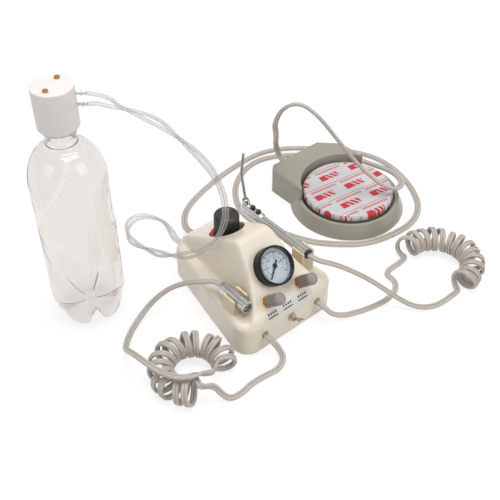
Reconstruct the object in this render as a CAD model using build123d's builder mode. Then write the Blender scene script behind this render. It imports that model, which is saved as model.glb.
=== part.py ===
"""Portable dental turbine unit: control box, water bottle, foot pedal, syringe, coupling and hoses.

Millimetres. The origin is the centre of the control box's underside on the table, +X runs along the
front of the box from left to right, -Y is the front and +Z is up.
"""

import os
from math import acos, cos, degrees, pi, radians, sin, tan

from build123d import *

# ---------------------------------------------------------------- driving dimensions
CLEAR = 0.3                  # running clearance between pieces that move past each other

# control box
box_depth = 150.0            # front to back
box_front_half = 64.0        # half width of the outline at the front
box_back_half = 36.0         # half width of the outline at the back
front_corner_r = 20.0
back_corner_r = 12.0
shoulder_z = 38.0            # height of the low shoulders that carry the two clips
shoulder_r = 3.0
crest_y = -17.0              # where the console meets the back slope
crest_z = 92.5
back_edge_z = 41.0
ridge_front_half = 38.0      # half width of the ridge where it leaves the shoulders
ridge_back_half = 27.0
ridge_lean = 9.0             # lean of the ridge's side walls, degrees
ridge_z = 30.0               # height at which the ridge starts
wall = 2.5
pad_thick = 1.5
plate_thick = 2.0
screw_head_d = 6.0

# gauge
gauge_d = 40.0
gauge_proud = 12.0
gauge_y = -43.0
gauge_barrel_d = 33.4
needle_len = 14.5
needle_zero = 225.0          # degrees from the dial's right, counterclockwise

# needle valves
valve_x = 21.0
valve_y = -62.5
valve_bore = 8.0
valve_nut_af = 11.5
valve_nut_t = 5.0
valve_knob_d = 12.5
valve_knob_len = 21.5

# toggle switch
toggle_z = 21.5
toggle_bush_d = 6.0
toggle_lever_len = 13.5
toggle_tilt = 28.0

# regulator
reg_y = 26.0
reg_body_d = 30.0
reg_ring_d = 34.0
reg_ring_z = 60.0
reg_ring_t = 5.0
reg_knob_d = 26.4
reg_knob_top = 91.0
reg_lift = 2.5

# clips on the shoulders
clip_x = 44.0
clip_len = 16.0
clip_wall = 2.5
coupling_z = 51.0
syringe_z = 62.0

# handpiece coupling
coupling_d = 13.0
coupling_back_y = -20.0
coupling_len = 39.0
coupling_nut_len = 12.0
coupling_mouth_d = 10.4
coupling_mouth_depth = 3.0
coupling_seat_d = 9.6

# three way syringe
syringe_d = 10.0
syringe_tail_y = -51.0
syringe_head_y = 20.0
syringe_nose_y = 47.0
syringe_head_d = 12.6
button_d = 5.4
button_travel = 2.0
nozzle_d = 3.0
nozzle_lean = 12.0           # lean of the nozzle's lower run from vertical, degrees

# bottle
bottle_x = -134.0
bottle_y = 88.0
bottle_d = 75.0
bottle_wall = 0.8
bottle_shoulder_z = 166.0
neck_d = 27.0
neck_z = 204.0
neck_top_z = 233.0
cap_d = 38.0
cap_bottom_z = 222.0
cap_top_z = 264.0
barb_angle = -40.0
barb_z = (256.0, 245.0)

# foot pedal
pedal_x = 189.0
pedal_y = 33.0
pedal_foot_r = 67.0
pedal_rim_r = 60.0
pedal_rim_z = 16.0
pedal_well_r = 56.0
disc_r = 52.5
disc_bottom_z = 12.0
disc_top_z = 23.5
pedal_travel = 4.0
pedal_stop_gap = 0.5
well_floor = 6.0
block_top_z = 32.0
block_back_y = 117.0
block_left_x = 137.0
block_right_x = 240.0
film_t = 0.4

# hoses
curly_d = 6.8                # tube of the curly hoses
coil_d = 28.0                # outside of one turn of the curly hoses
pedal_hose_d = 6.0
bottle_tube_d = 8.0          # the pair of 4 mm tubes, twisted together
dip_d = 5.0

half = box_depth / 2
front_y = -half
plate_z = pad_thick + plate_thick
console_front_z = crest_z - (crest_y - front_y)

os.makedirs("parts", exist_ok=True)


def save(piece, name):
    """Label one finished sub-part and write its STEP file."""
    piece.label = name
    export_step(piece, f"parts/{name}.step")


def console_plane(x, y, out=0.0):
    """Plane on the 45 degree console at (x, y), raised `out` along its normal."""
    step = out * sin(radians(45))
    z = crest_z - (crest_y - y)
    return Plane(origin=(x, y - step, z + step), x_dir=(1, 0, 0), z_dir=(0, -1, 1))


def front_plane(x, z, out=0.0):
    """Plane on the front wall at (x, z), facing -Y and raised `out` from the wall."""
    return Plane(origin=(x, front_y - out, z), x_dir=(1, 0, 0), z_dir=(0, -1, 0))


def back_plane(x, z, out=0.0):
    """Plane on the back wall at (x, z), facing +Y and raised `out` from the wall."""
    return Plane(origin=(x, half + out, z), x_dir=(-1, 0, 0), z_dir=(0, 1, 0))


# ---------------------------------------------------------------- control box
def case_form(inset, floor):
    """Solid form of the box, its walls moved inward by `inset` and its underside at `floor`."""
    with BuildPart() as ridge:
        with BuildSketch(Plane.YZ) as side:
            with BuildLine():
                Polyline(
                    (front_y, ridge_z - inset),
                    (front_y, console_front_z),
                    (crest_y, crest_z),
                    (half, back_edge_z),
                    (half, ridge_z - inset),
                    close=True,
                )
            make_face()
            fillet(side.vertices().sort_by(Axis.Y)[2:3], radius=6)
            if inset:
                offset(amount=-inset, kind=Kind.INTERSECTION)
        extrude(amount=box_front_half, both=True)
        with BuildSketch(Plane.XY.offset(ridge_z - inset)):
            with BuildLine():
                Polyline(
                    (-ridge_front_half + inset, front_y),
                    (ridge_front_half - inset, front_y),
                    (ridge_back_half - inset, half),
                    (-ridge_back_half + inset, half),
                    close=True,
                )
            make_face()
        extrude(amount=crest_z, taper=ridge_lean, mode=Mode.INTERSECT)
    with BuildPart() as form:
        with BuildSketch(Plane.XY.offset(floor)) as outline:
            with BuildLine():
                Polyline(
                    (-box_front_half, front_y),
                    (box_front_half, front_y),
                    (box_back_half, half),
                    (-box_back_half, half),
                    close=True,
                )
            make_face()
            corners = outline.vertices().sort_by(Axis.Y)
            fillet(corners[:2], radius=front_corner_r)
            fillet(outline.vertices().sort_by(Axis.Y)[-2:], radius=back_corner_r)
            if inset:
                offset(amount=-inset, kind=Kind.INTERSECTION)
        extrude(amount=shoulder_z - inset - floor)
        if not inset:
            fillet(form.faces().sort_by(Axis.Z)[-1].edges(), radius=shoulder_r)
        add(ridge.part)
    return form.part


def box_outline(inset, low, high):
    """Slab with the box's outline moved inward by `inset`, from z = low to z = high."""
    with BuildPart() as slab:
        with BuildSketch(Plane.XY.offset(low)) as outline:
            with BuildLine():
                Polyline(
                    (-box_front_half, front_y),
                    (box_front_half, front_y),
                    (box_back_half, half),
                    (-box_back_half, half),
                    close=True,
                )
            make_face()
            fillet(outline.vertices().sort_by(Axis.Y)[:2], radius=front_corner_r)
            fillet(outline.vertices().sort_by(Axis.Y)[-2:], radius=back_corner_r)
            offset(amount=-inset, kind=Kind.INTERSECTION)
        extrude(amount=high - low)
    return slab.part


hose_hole_x = 35.0
hose_hole_z = 20.0
gland_d = 8.0
tube_gland_x = -18.0
tube_gland_z = 20.0
pedal_port_x = 8.0
pedal_port_z = 14.0
inlet_x = 22.0
inlet_z = 18.0
inlet_d = 6.0
back_ports = (
    (tube_gland_x, tube_gland_z, gland_d),
    (pedal_port_x, pedal_port_z, gland_d),
    (inlet_x, inlet_z, inlet_d),
)
screw_spots = ((-48, -60), (48, -60), (-28, 58), (28, 58))

with BuildPart() as case_shell:
    add(case_form(0, pad_thick))
    add(case_form(wall, pad_thick), mode=Mode.SUBTRACT)
    with BuildSketch(console_plane(0, gauge_y, 5)):
        Circle(gauge_barrel_d / 2 + 0.1)
    extrude(amount=-15, mode=Mode.SUBTRACT)
    for side in (-1, 1):
        with BuildSketch(console_plane(side * valve_x, valve_y, 5)):
            Circle(valve_bore / 2 + 0.1)
        extrude(amount=-14, mode=Mode.SUBTRACT)
        with BuildSketch(front_plane(side * hose_hole_x, hose_hole_z, 2)):
            Circle(gland_d / 2)
        extrude(amount=-8, mode=Mode.SUBTRACT)
    with BuildSketch(front_plane(0, toggle_z, 2)):
        Circle(toggle_bush_d / 2 + 0.1)
    extrude(amount=-8, mode=Mode.SUBTRACT)
    for x, z, d in back_ports:
        with BuildSketch(back_plane(x, z, 2)):
            Circle(d / 2)
        extrude(amount=-8, mode=Mode.SUBTRACT)
    with BuildSketch(Plane.XY.offset(shoulder_z)):
        with Locations((0, reg_y)):
            Circle(reg_ring_d / 2 + 1.0)
    extrude(amount=crest_z, mode=Mode.SUBTRACT)
save(case_shell.part, "case_shell")

with BuildPart() as rest_pad:
    add(box_outline(3.0, 0, pad_thick))
save(rest_pad.part, "rest_pad")

with BuildPart() as base_plate:
    add(box_outline(wall, pad_thick, plate_z))
    with BuildSketch(Plane.XY.offset(pad_thick)):
        with Locations(*screw_spots):
            Circle(1.6)
    extrude(amount=plate_thick, mode=Mode.SUBTRACT)
save(base_plate.part, "base_plate")

with BuildPart() as base_screws:
    for spot in screw_spots:
        with BuildSketch(Plane.XY.offset(pad_thick)):
            with Locations(spot):
                Circle(1.6)
        extrude(amount=10)
        with BuildSketch(Plane.XY.offset(plate_z)):
            with Locations(spot):
                Circle(screw_head_d / 2)
        extrude(amount=8)
save(base_screws.part, "base_screws")

label_w, label_h, label_t = 60.0, 4.4, 0.4
with BuildPart() as label_strip:
    with BuildSketch(front_plane(2, shoulder_z - shoulder_r - label_h / 2)):
        Rectangle(label_w, label_h)
    extrude(amount=label_t)
save(label_strip.part, "label_strip")


def clip(x, axis_z, hold_d, y_mid, height):
    """Upward open U clip that stands on a shoulder and cradles a round handle along Y."""
    gap = hold_d / 2 + CLEAR
    with BuildPart() as holder:
        with BuildSketch(Plane(origin=(x, y_mid - clip_len / 2, 0), x_dir=(1, 0, 0), z_dir=(0, -1, 0))):
            with Locations((0, (shoulder_z + height) / 2)):
                Rectangle(2 * (gap + clip_wall), height - shoulder_z)
            with Locations((0, axis_z)):
                Circle(gap, mode=Mode.SUBTRACT)
            with Locations((0, axis_z + (height - axis_z) / 2 + 0.5)):
                Rectangle(2 * gap, height - axis_z + 1, mode=Mode.SUBTRACT)
        extrude(amount=-clip_len)
        fillet(holder.edges().filter_by(Axis.Y).group_by(Axis.Z)[-1], radius=0.8)
    return holder.part


left_holder_y = -41.0
right_holder_y = -42.0
save(clip(-clip_x, coupling_z, coupling_d, left_holder_y, coupling_z + 4.5), "left_holder")
save(clip(clip_x, syringe_z, syringe_d, right_holder_y, syringe_z + 3.0), "right_holder")

# ---------------------------------------------------------------- gauge
dial_z = 6.0                 # underside of the dial above the console
dial_t = 0.8
bezel_w = 2.2
lens_z = 10.0
with BuildPart() as gauge_case:
    with BuildSketch(console_plane(0, gauge_y)):
        Circle(gauge_d / 2)
    extrude(amount=gauge_proud)
    fillet(gauge_case.faces().sort_by(Axis.Z)[-1].edges(), radius=1)
    with BuildSketch(console_plane(0, gauge_y)):
        Circle(gauge_barrel_d / 2)
    extrude(amount=-14)
    with BuildSketch(console_plane(0, gauge_y, dial_z)):
        Circle(gauge_d / 2 - bezel_w)
    extrude(amount=gauge_proud, mode=Mode.SUBTRACT)
    with BuildSketch(console_plane(0, gauge_y, -9)):
        Circle(12)
    extrude(amount=9 + dial_z, mode=Mode.SUBTRACT)
    with BuildSketch(console_plane(0, gauge_y, -15)):
        Circle(4)
    extrude(amount=8, mode=Mode.SUBTRACT)
save(gauge_case.part, "gauge_case")

with BuildPart() as gauge_dial:
    with BuildSketch(console_plane(0, gauge_y, dial_z)):
        Circle(gauge_d / 2 - bezel_w)
        Circle(1.2, mode=Mode.SUBTRACT)
    extrude(amount=dial_t)
save(gauge_dial.part, "gauge_dial")

with BuildPart() as gauge_movement:
    with BuildSketch(console_plane(0, gauge_y, -9)):
        Circle(11)
    extrude(amount=9 + dial_z - 0.5)
    with BuildSketch(console_plane(0, gauge_y, -26)):
        Circle(4)
    extrude(amount=18)
    with BuildSketch(console_plane(0, gauge_y, dial_z)):
        Circle(1.0)
    extrude(amount=-6, mode=Mode.SUBTRACT)
save(gauge_movement.part, "gauge_movement")

needle_gap = 0.5
with BuildPart() as gauge_needle:
    with BuildSketch(console_plane(0, gauge_y, dial_z + dial_t + needle_gap)):
        Circle(2.2)
        with Locations(Rotation(0, 0, needle_zero)):
            with Locations((needle_len / 2 - 2, 0)):
                Rectangle(needle_len + 4, 0.9)
            with Locations((-5, 0)):
                Rectangle(3, 2.0)
    extrude(amount=1.0)
    with BuildSketch(console_plane(0, gauge_y, dial_z - 4)):
        Circle(0.7)
    extrude(amount=6)
save(gauge_needle.part, "gauge_needle")

with BuildPart() as gauge_lens:
    with BuildSketch(console_plane(0, gauge_y, lens_z)):
        Circle(gauge_d / 2 - bezel_w)
    extrude(amount=1.2)
save(gauge_lens.part, "gauge_lens")

# ---------------------------------------------------------------- needle valves
for side, fluid in ((-1, "air"), (1, "water")):
    with BuildPart() as valve_body:
        with BuildSketch(console_plane(side * valve_x, valve_y, -wall - 7)):
            RegularPolygon(6.5, 6, major_radius=False)
        extrude(amount=7)
        with BuildSketch(console_plane(side * valve_x, valve_y, -wall)):
            Circle(valve_bore / 2)
        extrude(amount=wall + 9)
        with BuildSketch(console_plane(side * valve_x, valve_y, -6)):
            Circle(1.5 + CLEAR)
        extrude(amount=20, mode=Mode.SUBTRACT)
    save(valve_body.part, f"{fluid}_valve_body")

    with BuildPart() as valve_nut:
        with BuildSketch(console_plane(side * valve_x, valve_y)):
            RegularPolygon(valve_nut_af / 2, 6, major_radius=False)
            Circle(valve_bore / 2, mode=Mode.SUBTRACT)
        extrude(amount=valve_nut_t)
    save(valve_nut.part, f"{fluid}_valve_nut")

    knob_low = valve_nut_t + CLEAR
    with BuildPart() as knob:
        with BuildSketch(console_plane(side * valve_x, valve_y, knob_low)):
            Circle(valve_knob_d / 2)
        extrude(amount=valve_knob_len)
        fillet(knob.edges().sort_by(lambda e: e.center().Z - e.center().Y)[-1], radius=2.5)
        with BuildSketch(console_plane(side * valve_x, valve_y, knob_low + 2)):
            with PolarLocations(valve_knob_d / 2, 16):
                Circle(0.5)
        extrude(amount=valve_knob_len, mode=Mode.SUBTRACT)
        with BuildSketch(console_plane(side * valve_x, valve_y, knob_low)):
            Circle(valve_bore / 2 + CLEAR)
        extrude(amount=9 + CLEAR - knob_low, mode=Mode.SUBTRACT)
        with BuildSketch(console_plane(side * valve_x, valve_y, -4)):
            Circle(1.5)
        extrude(amount=16)
    save(knob.part, f"{fluid}_knob")

# ---------------------------------------------------------------- toggle switch
pivot_out = 3.0              # the lever's pivot in front of the wall
with BuildPart() as toggle_body:
    with BuildSketch(front_plane(0, toggle_z, -wall)):
        Rectangle(13, 15)
    extrude(amount=-13)
    with BuildSketch(front_plane(0, toggle_z, -wall)):
        Circle(toggle_bush_d / 2)
    extrude(amount=wall + 5)
    with BuildSketch(front_plane(0, toggle_z, pivot_out - 4)):
        Circle(2.2)
    extrude(amount=10, mode=Mode.SUBTRACT)
save(toggle_body.part, "toggle_body")

with BuildPart() as toggle_nut:
    with BuildSketch(front_plane(0, toggle_z)):
        RegularPolygon(4.6, 6, major_radius=False)
        Circle(toggle_bush_d / 2, mode=Mode.SUBTRACT)
    extrude(amount=2.0)
save(toggle_nut.part, "toggle_nut")

lever_plane = Plane(
    origin=(0, front_y - pivot_out, toggle_z),
    x_dir=(1, 0, 0),
    z_dir=(0, -cos(radians(toggle_tilt)), sin(radians(toggle_tilt))),
)
with BuildPart() as toggle_lever:
    with Locations((0, front_y - pivot_out, toggle_z)):
        Sphere(1.7)
    with BuildSketch(lever_plane):
        Circle(0.8)
    with BuildSketch(lever_plane.offset(4)):
        Circle(1.2)
    loft()
    with BuildSketch(lever_plane.offset(4)):
        Circle(1.2)
    with BuildSketch(lever_plane.offset(toggle_lever_len)):
        Circle(2.1)
    loft()
save(toggle_lever.part, "toggle_lever")

# ---------------------------------------------------------------- regulator
with BuildPart() as regulator_body:
    with BuildSketch(Plane.XY.offset(plate_z)):
        with Locations((0, reg_y)):
            Circle(reg_body_d / 2)
    extrude(amount=reg_ring_z - 6 - plate_z)
    with BuildSketch(Plane.XY.offset(reg_ring_z - 6)):
        with Locations((0, reg_y)):
            Circle(reg_ring_d / 2)
    extrude(amount=6)
    with BuildSketch(Plane.XY.offset(reg_ring_z - 12)):
        with Locations((0, reg_y)):
            Circle(4 + CLEAR)
    extrude(amount=20, mode=Mode.SUBTRACT)
save(regulator_body.part, "regulator_body")

with BuildPart() as regulator_ring:
    with BuildSketch(Plane.XY.offset(reg_ring_z)):
        with Locations((0, reg_y)):
            Circle(reg_ring_d / 2)
            Circle(reg_knob_d / 2 + 0.5, mode=Mode.SUBTRACT)
    extrude(amount=reg_ring_t)
    chamfer(regulator_ring.edges().group_by(Axis.Z)[-1].sort_by(SortBy.LENGTH)[-1], length=1)
save(regulator_ring.part, "regulator_ring")

hex_top = reg_knob_top - 9
with BuildPart() as regulator_stem:
    with BuildSketch(Plane.XY.offset(reg_ring_z - 11.5)):
        with Locations((0, reg_y)):
            Circle(4)
    extrude(amount=13)
    with BuildSketch(Plane.XY.offset(reg_ring_z + CLEAR)):
        with Locations((0, reg_y)):
            RegularPolygon(5, 6, major_radius=False)
    extrude(amount=hex_top - reg_ring_z - CLEAR)
save(regulator_stem.part, "regulator_stem")

knob_foot = reg_ring_z + 1.0
with BuildPart() as regulator_knob:
    with BuildSketch(Plane.XY.offset(knob_foot)):
        with Locations((0, reg_y)):
            Circle(reg_knob_d / 2)
    extrude(amount=reg_knob_top - knob_foot)
    fillet(regulator_knob.edges().group_by(Axis.Z)[-1], radius=4)
    with BuildSketch(Plane.XY.offset(knob_foot + 4)):
        with Locations((0, reg_y)):
            with PolarLocations(reg_knob_d / 2, 30):
                Circle(0.6)
    extrude(amount=reg_knob_top, mode=Mode.SUBTRACT)
    with BuildSketch(Plane.XY.offset(knob_foot)):
        with Locations((0, reg_y)):
            RegularPolygon(5 + CLEAR, 6, major_radius=False)
    extrude(amount=hex_top - knob_foot + CLEAR, mode=Mode.SUBTRACT)
save(regulator_knob.part, "regulator_knob")

# ---------------------------------------------------------------- inside and at the back of the box
manifold_w, manifold_d, manifold_h = 56.0, 30.0, 17.0
manifold_y = -35.0
manifold_port_r, manifold_port_depth = 2.5, 10.0
manifold_port_spacing, manifold_ports = 14.0, 4
manifold_front = Plane(
    origin=(0, manifold_y - manifold_d / 2, plate_z + manifold_h / 2), x_dir=(1, 0, 0), z_dir=(0, -1, 0)
)
with BuildPart() as manifold_block:
    with BuildSketch(Plane.XY.offset(plate_z)):
        with Locations((0, manifold_y)):
            Rectangle(manifold_w, manifold_d)
    extrude(amount=manifold_h)
    with BuildSketch(manifold_front):
        with GridLocations(manifold_port_spacing, 1, manifold_ports, 1):
            Circle(manifold_port_r)
    extrude(amount=-manifold_port_depth, mode=Mode.SUBTRACT)
save(manifold_block.part, "manifold_block")

inlet_len = 14.0
with BuildPart() as air_inlet:
    with BuildSketch(back_plane(inlet_x, inlet_z, -wall - 4)):
        Circle(inlet_d / 2 + 2)
    extrude(amount=4)
    with BuildSketch(back_plane(inlet_x, inlet_z, -wall)):
        Circle(inlet_d / 2)
    extrude(amount=wall + inlet_len)
    with BuildSketch(back_plane(inlet_x, inlet_z, -wall - 4)):
        Circle(1.5)
    extrude(amount=40, mode=Mode.SUBTRACT)
save(air_inlet.part, "air_inlet")

gland_proud = 8.0
with BuildPart() as back_glands:
    for x, z, d in back_ports[:2]:
        with BuildSketch(back_plane(x, z, -wall - 3)):
            Circle(d / 2 + 2)
        extrude(amount=3)
        with BuildSketch(back_plane(x, z, -wall)):
            Circle(d / 2)
        extrude(amount=wall + gland_proud)
save(back_glands.part, "back_glands")

front_gland_proud = 0.6
for side, name in ((-1, "front_gland_left"), (1, "front_gland_right")):
    with BuildPart() as gland:
        with BuildSketch(front_plane(side * hose_hole_x, hose_hole_z, -wall - 3)):
            Circle(gland_d / 2 + 2)
        extrude(amount=3)
        with BuildSketch(front_plane(side * hose_hole_x, hose_hole_z, -wall)):
            Circle(gland_d / 2)
        extrude(amount=wall + front_gland_proud)
    save(gland.part, name)

# ---------------------------------------------------------------- handpiece coupling
coupling_axis = Plane(origin=(-clip_x, coupling_back_y, coupling_z), x_dir=(1, 0, 0), z_dir=(0, -1, 0))
nut_start = coupling_len - coupling_nut_len
gasket_t = 2.0
with BuildPart() as coupling_body:
    with BuildSketch(coupling_axis):
        Circle(coupling_d / 2 - 1.5)
    with BuildSketch(coupling_axis.offset(5)):
        Circle(coupling_d / 2)
    loft()
    with BuildSketch(coupling_axis.offset(5)):
        Circle(coupling_d / 2)
    extrude(amount=nut_start - 5 - CLEAR)
    with BuildSketch(coupling_axis.offset(nut_start - 1)):
        Circle(coupling_seat_d / 2 - CLEAR)
    extrude(amount=coupling_nut_len + 1 - coupling_mouth_depth - gasket_t)
save(coupling_body.part, "coupling_body")

with BuildPart() as coupling_gasket:
    with BuildSketch(coupling_axis.offset(coupling_len - coupling_mouth_depth - gasket_t)):
        Circle(coupling_seat_d / 2 - CLEAR)
        with Locations((0, 2.2)):
            Circle(0.9, mode=Mode.SUBTRACT)
        with Locations((0, -2.2)):
            Circle(1.3, mode=Mode.SUBTRACT)
        with Locations((2.6, 0), (-2.6, 0)):
            Circle(0.6, mode=Mode.SUBTRACT)
    extrude(amount=gasket_t)
save(coupling_gasket.part, "coupling_gasket")

with BuildPart() as coupling_nut:
    with BuildSketch(coupling_axis.offset(nut_start)):
        Circle(coupling_d / 2)
        Circle(coupling_seat_d / 2, mode=Mode.SUBTRACT)
    extrude(amount=coupling_nut_len)
    with BuildSketch(coupling_axis.offset(coupling_len - coupling_mouth_depth)):
        Circle(coupling_mouth_d / 2)
    extrude(amount=coupling_mouth_depth, mode=Mode.SUBTRACT)
    for i in range(4):
        with BuildSketch(coupling_axis.offset(nut_start + 2 + 2.4 * i)):
            Circle(coupling_d / 2)
            Circle(coupling_d / 2 - 0.5, mode=Mode.SUBTRACT)
        extrude(amount=1.0, mode=Mode.SUBTRACT)
save(coupling_nut.part, "coupling_nut")

# ---------------------------------------------------------------- three way syringe
syringe_axis = Plane(origin=(clip_x, 0, syringe_z), x_dir=(1, 0, 0), z_dir=(0, 1, 0))
lean = radians(nozzle_lean)
nozzle_axis = Plane(
    origin=(clip_x, syringe_nose_y - 1, syringe_z),
    x_dir=(1, 0, 0),
    z_dir=(0, sin(lean), cos(lean)),
)
head_r = syringe_head_d / 2
boss_out = head_r + 2.0
button_y = (27.0, 36.0)
button_seat = syringe_z + 1.5
button_hole_r = button_d / 2 + CLEAR
with BuildPart() as syringe_body:
    with BuildSketch(syringe_axis.offset(syringe_tail_y + 3)):
        Circle(syringe_d / 2)
    extrude(amount=syringe_head_y - syringe_tail_y - 3)
    with BuildSketch(syringe_axis.offset(syringe_head_y)):
        Circle(syringe_d / 2)
    with BuildSketch(syringe_axis.offset(syringe_head_y + 3)):
        Circle(head_r)
    loft()
    with BuildSketch(syringe_axis.offset(syringe_head_y + 3)):
        Circle(head_r)
    extrude(amount=syringe_nose_y - syringe_head_y - 3)
    with Locations((clip_x, syringe_nose_y, syringe_z)):
        Sphere(head_r)
    with BuildSketch(nozzle_axis):
        Circle(4)
    extrude(amount=boss_out)
    with BuildSketch(nozzle_axis.offset(boss_out - 5)):
        Circle(nozzle_d / 2 + CLEAR)
    extrude(amount=10, mode=Mode.SUBTRACT)
    with BuildSketch(Plane.XY.offset(button_seat)):
        with Locations(*[(clip_x, y) for y in button_y]):
            Circle(button_hole_r)
    extrude(amount=20, mode=Mode.SUBTRACT)
save(syringe_body.part, "syringe_body")

with BuildPart() as syringe_tail_ring:
    with BuildSketch(syringe_axis.offset(syringe_tail_y)):
        Circle(syringe_d / 2 - 0.6)
    extrude(amount=3)
save(syringe_tail_ring.part, "syringe_tail_ring")

with BuildPart() as nozzle_nut:
    with BuildSketch(nozzle_axis.offset(boss_out)):
        Circle(4)
        Circle(nozzle_d / 2 + CLEAR, mode=Mode.SUBTRACT)
    extrude(amount=3.5)
    chamfer(nozzle_nut.edges().sort_by(Axis.Z)[-2:].sort_by(SortBy.LENGTH)[-1], length=0.8)
save(nozzle_nut.part, "nozzle_nut")

nozzle_base = nozzle_axis.offset(boss_out - 4.5).origin
nozzle_knee = nozzle_axis.offset(43).origin
nozzle_tip = Vector(clip_x, nozzle_knee.Y - 3.5, nozzle_knee.Z + 26)
with BuildPart() as syringe_nozzle:
    with BuildLine() as bent:
        FilletPolyline(nozzle_base, nozzle_knee, nozzle_tip, radius=25)
    with BuildSketch(Plane(origin=bent.line @ 0, z_dir=bent.line % 0)):
        Circle(nozzle_d / 2)
    sweep()
save(syringe_nozzle.part, "syringe_nozzle")

button_top = syringe_z + head_r + 2.6
for y, name in zip(button_y, ("air_button", "water_button")):
    with BuildPart() as button:
        with BuildSketch(Plane.XY.offset(button_seat + button_travel + 0.2)):
            with Locations((clip_x, y)):
                Circle(button_d / 2)
        extrude(amount=button_top - button_seat - button_travel - 0.2)
        fillet(button.edges().group_by(Axis.Z)[-1], radius=0.8)
    save(button.part, name)

# ---------------------------------------------------------------- bottle
neck_r = neck_d / 2
body_r = bottle_d / 2
bottle_plane = Plane(origin=(bottle_x, bottle_y, 0), x_dir=(1, 0, 0), z_dir=(0, -1, 0))


def bottle_form(inset):
    """Solid of revolution of the bottle with its wall moved inward by `inset`."""
    low = inset
    with BuildPart() as form:
        with BuildSketch(bottle_plane) as section:
            with BuildLine():
                Polyline((0, low), (body_r - 10, low))
                CenterArc((body_r - 10, 10), 10 - inset, -90, 90)
                Line((body_r - inset, 10), (body_r - inset, bottle_shoulder_z))
                ThreePointArc(
                    (body_r - inset, bottle_shoulder_z),
                    (body_r - 8 - inset, bottle_shoulder_z + 23),
                    (neck_r - inset, neck_z),
                )
                Polyline(
                    (neck_r - inset, neck_z),
                    (neck_r - inset, neck_top_z + inset),
                    (0, neck_top_z + inset),
                    (0, low),
                )
            make_face()
        revolve(axis=Axis((bottle_x, bottle_y, 0), (0, 0, 1)))
    return form.part


with BuildPart() as bottle:
    add(bottle_form(0))
    with BuildSketch(Plane.XY.offset(neck_z + 6)):
        with Locations((bottle_x, bottle_y)):
            Circle(neck_r + 2.5)
    extrude(amount=2)
    add(bottle_form(bottle_wall), mode=Mode.SUBTRACT)
save(bottle.part, "bottle")

screw_d = 5.0
screw_reach = 11.5
cap_skirt = neck_top_z + 2.0     # ceiling of the cap's thread chamber
with BuildPart() as bottle_cap:
    with BuildSketch(Plane.XY.offset(cap_bottom_z)):
        with Locations((bottle_x, bottle_y)):
            Circle(cap_d / 2)
    extrude(amount=cap_top_z - cap_bottom_z)
    chamfer(bottle_cap.edges().group_by(Axis.Z)[0], length=2.5)
    fillet(bottle_cap.edges().group_by(Axis.Z)[-1], radius=1.2)
    with BuildSketch(Plane.XY.offset(cap_bottom_z)):
        with Locations((bottle_x, bottle_y)):
            Circle(neck_r + CLEAR)
    extrude(amount=cap_skirt - cap_bottom_z, mode=Mode.SUBTRACT)
    with BuildSketch(Plane.XY.offset(cap_skirt)):
        with Locations((bottle_x, bottle_y)):
            Circle(dip_d / 2)
    extrude(amount=8, mode=Mode.SUBTRACT)
    with BuildSketch(Plane.XY.offset(cap_top_z - 6)):
        with Locations((bottle_x, bottle_y)):
            with PolarLocations(screw_reach, 2, start_angle=35):
                Circle(1.5)
    extrude(amount=10, mode=Mode.SUBTRACT)
    for z in barb_z:
        with BuildSketch(
            Plane(
                origin=(bottle_x, bottle_y, z),
                x_dir=(sin(radians(barb_angle)), -cos(radians(barb_angle)), 0),
                z_dir=(cos(radians(barb_angle)), sin(radians(barb_angle)), 0),
            ).offset(cap_d / 2 - 6)
        ):
            Circle(1.5)
        extrude(amount=10, mode=Mode.SUBTRACT)
save(bottle_cap.part, "bottle_cap")

with BuildPart() as cap_ring:
    with BuildSketch(Plane.XY.offset(cap_bottom_z - 1.5)):
        with Locations((bottle_x, bottle_y)):
            Circle(cap_d / 2 - 2.8)
            Circle(neck_r + CLEAR, mode=Mode.SUBTRACT)
    extrude(amount=1.5)
save(cap_ring.part, "cap_ring")

with BuildPart() as cap_screws:
    with BuildSketch(Plane.XY.offset(cap_top_z - 6)):
        with Locations((bottle_x, bottle_y)):
            with PolarLocations(screw_reach, 2, start_angle=35):
                Circle(1.5)
    extrude(amount=6)
    with BuildSketch(Plane.XY.offset(cap_top_z)):
        with Locations((bottle_x, bottle_y)):
            with PolarLocations(screw_reach, 2, start_angle=35):
                Circle(screw_d / 2)
    extrude(amount=1.6)
save(cap_screws.part, "cap_screws")

barb_tip = cap_d / 2 + 9.0
with BuildPart() as cap_barbs:
    for z in barb_z:
        barb_plane = Plane(
            origin=(bottle_x, bottle_y, z),
            x_dir=(sin(radians(barb_angle)), -cos(radians(barb_angle)), 0),
            z_dir=(cos(radians(barb_angle)), sin(radians(barb_angle)), 0),
        )
        with BuildSketch(barb_plane.offset(cap_d / 2 - 6)):
            Circle(1.5)
        extrude(amount=barb_tip - cap_d / 2 + 6)
        with BuildSketch(barb_plane.offset(cap_d / 2 + 4)):
            Circle(2.1)
        extrude(amount=2)
save(cap_barbs.part, "cap_barbs")

# ---------------------------------------------------------------- foot pedal
with BuildPart() as pedal_base:
    with BuildSketch(Plane.XY):
        with Locations((pedal_x, pedal_y)):
            Circle(pedal_foot_r - 2)
    extrude(amount=3)
save(pedal_base.part, "pedal_base")

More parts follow.
